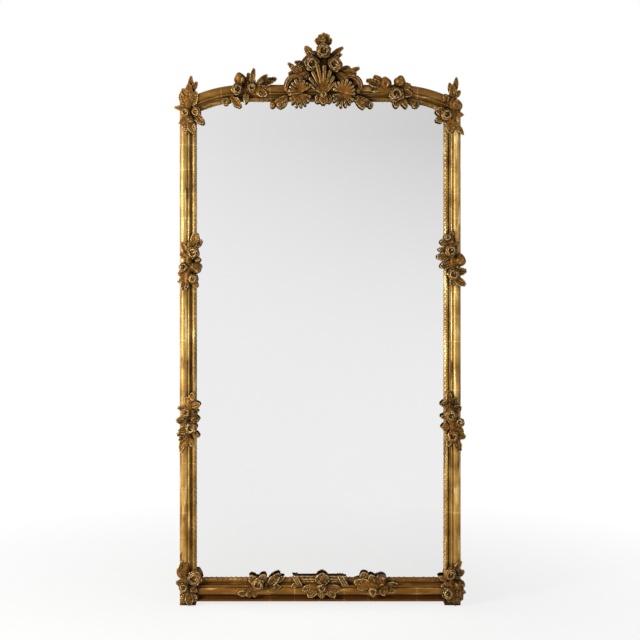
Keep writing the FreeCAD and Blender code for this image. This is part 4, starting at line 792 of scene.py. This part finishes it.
# Clusters on the stiles
carve("cluster_left_upper", -CORNER_X, CLUSTER_Z, [
    bed(6, 52, -2, -66),
    leaf(20, 58, 80, SHORT, BROAD),
    leaf(18, 46, 38, SHORT, BROAD),
    rose(16, 26, ROSE_MIDDLE, spin=12, angle=40, lean=8),
    leaf(-6, 30, 118, SHORT),
    leaf(-8, 12, 150, TINY),
    bud(30, 3, BUD_SMALL, angle=0, lean=40),
    bud(24, -22, BUD_LARGE, angle=300, lean=30),
    rose(-14, -20, ROSE_SMALL, spin=50, angle=200, lean=8),
    leaf(-12, -38, 186, TINY, BROAD),
    leaf(-14, -56, 214, TINY),
    rose(16, -56, ROSE_SMALL, spin=20),
    leaf(-8, -64, 258, SHORT, BROAD),
    leaf(18, -66, 300, TINY),
])
carve("cluster_left_lower", -CORNER_X, -CLUSTER_Z, [
    bed(4, 56, -4, -70),
    bud(14, 62, BUD_SMALL, angle=85, lean=70),
    leaf(12, 62, 88, TINY),
    leaf(4, 50, 122, TINY, BROAD),
    leaf(18, 40, 18, TINY, BROAD),
    leaf(-12, 32, 168, TINY),
    rose(-8, 20, ROSE_SMALL, spin=30, angle=180, lean=8),
    leaf(14, 16, 24, TINY),
    leaf(-16, -4, 184, TINY, BROAD),
    bud(20, -2, BUD_MIDDLE, angle=0, lean=60),
    rose(10, -28, ROSE_MIDDLE, spin=5, angle=0, lean=6),
    leaf(-10, -32, 208, TINY, BROAD),
    leaf(-14, -46, 190, TINY),
    leaf(-10, -58, 212, TINY, BROAD),
    leaf(18, -46, 330, TINY),
    bud(-6, -78, BUD_SMALL, angle=190, lean=70),
    leaf(-18, -74, 262, SHORT),
    leaf(8, -66, 284, TINY),
])
carve("cluster_right_upper", CORNER_X, CLUSTER_Z, [
    bed(-4, 74, 4, -58),
    leaf(-4, 72, 84, TINY),
    rose(-16, 74, ROSE_TINY, spin=20, angle=120, lean=10),
    leaf(-18, 58, 178, TINY, BROAD),
    bud(-2, 58, BUD_SMALL, angle=90, lean=20),
    leaf(8, 46, 60, TINY),
    rose(-6, 31, ROSE_MIDDLE, spin=45),
    leaf(-24, 34, 174, TINY),
    leaf(-18, 14, 184, SHORT, BROAD),
    bud(24, 0, BUD_LARGE, angle=90, lean=70),
    leaf(-10, -8, 202, SHORT, BROAD),
    rose(2, -42, ROSE_MIDDLE, spin=10),
    leaf(22, -34, 8, TINY, BROAD),
    leaf(14, -60, 328, SHORT, BROAD),
    leaf(0, -58, 266, TINY),
])
carve("cluster_right_lower", CORNER_X, -CLUSTER_Z, [
    bed(-6, 60, 6, -72),
    leaf(-12, 58, 92, SHORT),
    leaf(-16, 46, 182, TINY, BROAD),
    leaf(2, 38, 80, SHORT, BROAD),
    rose(-6, 11, ROSE_MIDDLE, spin=8, angle=20, lean=6),
    leaf(10, 26, 48, TINY, BROAD),
    leaf(-16, 6, 178, TINY),
    rose(23, -10, ROSE_SMALL, spin=33, angle=10, lean=14),
    leaf(-14, -26, 184, TINY, BROAD),
    leaf(6, -16, 262, SHORT, BROAD),
    leaf(18, -28, 320, TINY),
    rose(-2, -54, ROSE_MIDDLE, spin=20),
    leaf(20, -50, 338, TINY, BROAD),
    leaf(12, -72, 290, SHORT, BROAD),
    leaf(-8, -66, 246, TINY),
])

# Bottom corners, hanging over the feet
carve("corner_bottom_left", -CORNER_X, LOW_CORNER_Z, [
    bed(-8, 60, -2, -30),
    leaf(-16, 66, 94, MIDDLE, lift=BED - 8),
    leaf(-14, 46, 98, SHORT, BROAD, lift=BED - 5),
    leaf(-16, 26, 122, SHORT, BROAD),
    rose(22, 22, ROSE_LARGE, spin=28, angle=30, lean=8),
    leaf(-16, 6, 174, TINY, BROAD),
    rose(-14, -8, ROSE_SMALL, spin=50, angle=200, lean=10),
    bud(18, -14, BUD_MIDDLE, angle=340, lean=40),
    ball(24, -36, BUD_SMALL, lift=BED - 6),
    leaf(-8, -34, 250, SHORT, BROAD),
    leaf(4, -33, 274, SHORT, BROAD),
    leaf(14, -32, 300, TINY, BROAD),
])
carve("corner_bottom_right", CORNER_X, LOW_CORNER_Z, [
    bed(0, 46, 0, -32),
    rose(-8, 34, ROSE_MIDDLE, spin=18, angle=110, lean=8),
    leaf(10, 50, 58, SHORT),
    leaf(16, 36, 18, TINY, BROAD),
    bud(20, 0, BUD_LARGE, angle=150, lean=30),
    rose(-16, -26, ROSE_MIDDLE, spin=40, angle=230, lean=8),
    leaf(-24, 18, 162, TINY),
    leaf(-8, 4, 196, SHORT),
    leaf(-6, -34, 254, TINY, BROAD),
    leaf(8, -34, 276, SHORT, BROAD),
    leaf(18, -30, 300, TINY, BROAD),
    leaf(22, -16, 332, TINY),
])

# Ribbon and sprays on the bottom rail
reeds = [
    bar(-REED_END, 10 + step, REED_END, 10 + step, REED_RADIUS, BED - 6 - step * step / 22)
    for step in (-10, -3.4, 3.4, 10)
]
bindings = [bar(-88 + step, 26, -70 + step, -6, BINDING_RADIUS, BED - 5, 5) for step in (0, 6.5, 13)]
bindings += [bar(62 + step, 24, 82 + step, -10, BINDING_RADIUS, BED - 5, 5) for step in (-7, 0, 7)]
carve("base_ribbon", 0, RAIL_Z, reeds + bindings + [
    bed(-RIBBON_HALF, 10, RIBBON_HALF, 10, radius=RIBBON_RADIUS, lift=BED - 6),
    bed(-30, -12, 36, -12),
    rose(5, -12, ROSE_SMALL, spin=20),
    leaf(-8, 8, 50, SHORT, BROAD),
    leaf(20, 8, 130, SHORT, BROAD, lift=BED),
    leaf(-26, -14, 188, SHORT, BROAD),
    leaf(34, -14, -8, SHORT, BROAD),
    leaf(-16, -20, 222, SHORT, BROAD),
    leaf(24, -20, 318, SHORT, BROAD),
    leaf(4, -24, 270, TINY, BROAD),
    leaf(-64, 2, 206, SHORT, lift=BED - 6),
])
carve("base_spray_left", BASE_LEFT_X, BASE_SPRAY_Z, [
    bed(-26, -16, 40, 2),
    rose(0, 5, ROSE_MIDDLE, spin=10),
    bud(-28, -24, BUD_MIDDLE, angle=200, lean=30),
    leaf(-42, -24, 180, TINY),
    leaf(-12, 14, 128, TINY, BROAD),
    leaf(12, 16, 60, TINY, BROAD),
    leaf(38, 6, 46, MIDDLE, BROAD),
    leaf(44, 10, 22, MIDDLE, lift=BED - 6),
    leaf(42, -2, -4, SHORT),
    leaf(34, -8, 326, TINY),
    leaf(-6, -16, 252, TINY),
])
carve("base_spray_right", BASE_RIGHT_X, BASE_SPRAY_Z, [
    bed(-40, 4, 34, -6),
    bed(-40, 4, -46, 22, radius=STEM, lift=BED - 8),
    leaf(-44, 26, 24, TINY, BROAD, lift=BED - 6),
    leaf(-42, 14, 318, SHORT, BROAD),
    leaf(-40, 6, 168, SHORT, BROAD),
    leaf(-10, 14, 118, TINY, BROAD),
    bud(15, 16, BUD_LARGE, angle=60, lean=30),
    rose(-12, -19, ROSE_SMALL, spin=33, angle=240, lean=8),
    leaf(32, -4, -28, SHORT, BROAD),
    leaf(36, 2, 4, SHORT),
    leaf(14, -14, 306, TINY),
    leaf(-30, -4, 190, SHORT),
])

# Running leaf tips along the sight edge
sight_x = HALF_WIDTH - TIP_ROOT
sight_low = TIP_ROOT - CROWN
sight_radius = SHOULDER_RADIUS - TIP_ROOT
sight_turn = math.asin((sight_x - FLAT_HALF) / sight_radius)
arch_level = CROWN - SHOULDER_RADIUS
sight_high = arch_level + sight_radius * math.cos(sight_turn)


def leaf_tip(x, z, inward):
    """One small lobed tip that lies over the sight edge towards the glass."""
    u = np.linspace(0, 1, 9)[:, None]
    v = np.linspace(-1, 1, 9)[None]
    taper = np.sqrt(np.clip(1 - (u * 1.02 - 0.12) ** 2.0 / 0.82, 0.02, 1))
    half = TIP_HALF * taper * chance.uniform(0.9, 1.05)
    swell = TIP_RISE * np.sqrt(np.clip(1 - v ** 2, 0, 1)) * (1 - 0.45 * u)
    groove = 1.5 * np.exp(-(v / 0.22) ** 2) * (1 - u)
    along = TIP_LENGTH * u * chance.uniform(0.92, 1.08)
    return set_down(shell(along, half * v, swell - groove, TIP_THICK), x, z, TIP_LIFT, inward, TIP_LEAN)


def running_edge(name, spots):
    """One side's row of tips, a few of them lost."""
    kept = [leaf_tip(*spot) for spot in spots if chance.random() > TIP_LOST]
    item = make_object(name, *gather(kept))
    item.data.materials.append(level_gilt if name.endswith(("top", "bottom")) else upright_gilt)
    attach(item, "frame")


def evenly(length):
    """Shares of a length at which tips about a pitch apart are set."""
    count = round(length / TIP_PITCH)
    return [(number + 0.5) / count for number in range(count)]


sight_rise = sight_high - sight_low
for side, name, inward in ((-1, "left", 0), (1, "right", 180)):
    spots = [(side * sight_x, sight_low + sight_rise * s, inward) for s in evenly(sight_rise)]
    running_edge(f"sight_edge_{name}", spots)
running_edge("sight_edge_bottom", [
    (sight_x * (2 * s - 1), sight_low, 90) for s in evenly(2 * sight_x)])
arch_spots = []
for side in (-1, 1):
    for s in evenly(sight_radius * sight_turn):
        turn = sight_turn * s * side
        spot_x = side * FLAT_HALF + sight_radius * math.sin(turn)
        arch_spots.append((spot_x, arch_level + sight_radius * math.cos(turn), 270 - math.degrees(turn)))
for s in evenly(2 * FLAT_HALF):
    arch_spots.append((FLAT_HALF * (2 * s - 1), CROWN - TIP_ROOT, 270))
running_edge("sight_edge_top", arch_spots)

# Floor, light and camera
FLOOR_SIZE = 30
SOFT_LIGHT = 0.17
SOFT_COLOUR = (1.0, 0.98, 0.95, 1)
WHITE = (1, 1, 1, 1)
bpy.ops.mesh.primitive_plane_add(size=FLOOR_SIZE, location=(0, 0, cad_box[0].z))
floor = bpy.context.object
floor.name = "floor"
ground = Shader("floor")
rays = ground.add("ShaderNodeLightPath").outputs
seen = ground.math("MAXIMUM", rays["Is Camera Ray"], rays["Is Glossy Ray"])
seen = ground.math("MAXIMUM", seen, rays["Is Transmission Ray"])
pale = ground.span(ground.noise(0.7, 2), 0.3, 0.7, 0.86, 0.9)
grey = ground.add("ShaderNodeCombineColor", {0: pale, 1: pale, 2: pale}).outputs[0]
ground.set(Base_Color=grey, Roughness=0.9)
far = ground.add("ShaderNodeVectorMath", {0: ground.place}, operation="LENGTH").outputs["Value"]
fade = ground.span(far, 0.5, 1.7, 0.8, 1.0)
glow = ground.add("ShaderNodeEmission", {"Color": WHITE, "Strength": 1.0})
mixed = ground.add("ShaderNodeMixShader", {
    0: ground.math("MULTIPLY", seen, fade), 1: ground.surface.outputs[0], 2: glow.outputs[0]})
ground.tree.links.new(mixed.outputs[0], ground.tree.nodes["Material Output"].inputs["Surface"])
floor.data.materials.append(ground.material)

world = bpy.data.worlds.new("studio")
bpy.context.scene.world = world
world.use_nodes = True
sky = world.node_tree
sky.nodes.clear()
rays = add_node(sky, "ShaderNodeLightPath").outputs
shown = add_node(sky, "ShaderNodeMath", {
    0: rays["Is Camera Ray"], 1: rays["Is Glossy Ray"]}, operation="MAXIMUM").outputs[0]
shown = add_node(sky, "ShaderNodeMath", {
    0: shown, 1: rays["Is Transmission Ray"]}, operation="MAXIMUM").outputs[0]
soft = add_node(sky, "ShaderNodeBackground", {"Color": SOFT_COLOUR, "Strength": SOFT_LIGHT}).outputs[0]
white = add_node(sky, "ShaderNodeBackground", {"Color": WHITE, "Strength": 1.0}).outputs[0]
chosen = add_node(sky, "ShaderNodeMixShader", {0: shown, 1: soft, 2: white}).outputs[0]
add_node(sky, "ShaderNodeOutputWorld", {"Surface": chosen})


def lamp(name, place, aim, size, power, colour):
    """Round soft lamp turned towards a point."""
    light = bpy.data.lights.new(name, "AREA")
    light.shape = "DISK"
    light.size = size
    light.energy = power
    light.color = colour
    item = bpy.data.objects.new(name, light)
    bpy.context.scene.collection.objects.link(item)
    item.location = place
    sight = np.asarray(aim, float) - np.asarray(place, float)
    item.rotation_mode = "QUATERNION"
    item.rotation_quaternion = Vector(sight).to_track_quat("-Z", "Y")


lamp("key", place=(-2.0, -1.6, 0.25), aim=(0, 0, 0.05), size=0.9, power=74, colour=(1.0, 0.97, 0.92))
lamp("fill", place=(3.0, -3.0, 1.0), aim=(0, 0, 0), size=1.6, power=24, colour=(0.95, 0.97, 1.0))

eye = bpy.data.cameras.new("camera")
watcher = bpy.data.objects.new("camera", eye)
bpy.context.scene.collection.objects.link(watcher)
view_width = PICTURE * PIXEL
eye.sensor_width = SENSOR
eye.lens = SENSOR * (FACE_PLANE - EYE[1]) / view_width
eye.shift_x = (PICTURE_MIDDLE[0] - EYE[0]) / view_width
eye.shift_y = (PICTURE_MIDDLE[1] - EYE[2]) / view_width
watcher.location = EYE
watcher.rotation_euler = (math.pi / 2, 0, 0)
bpy.context.scene.camera = watcher
bpy.context.scene.view_settings.view_transform = "Standard"
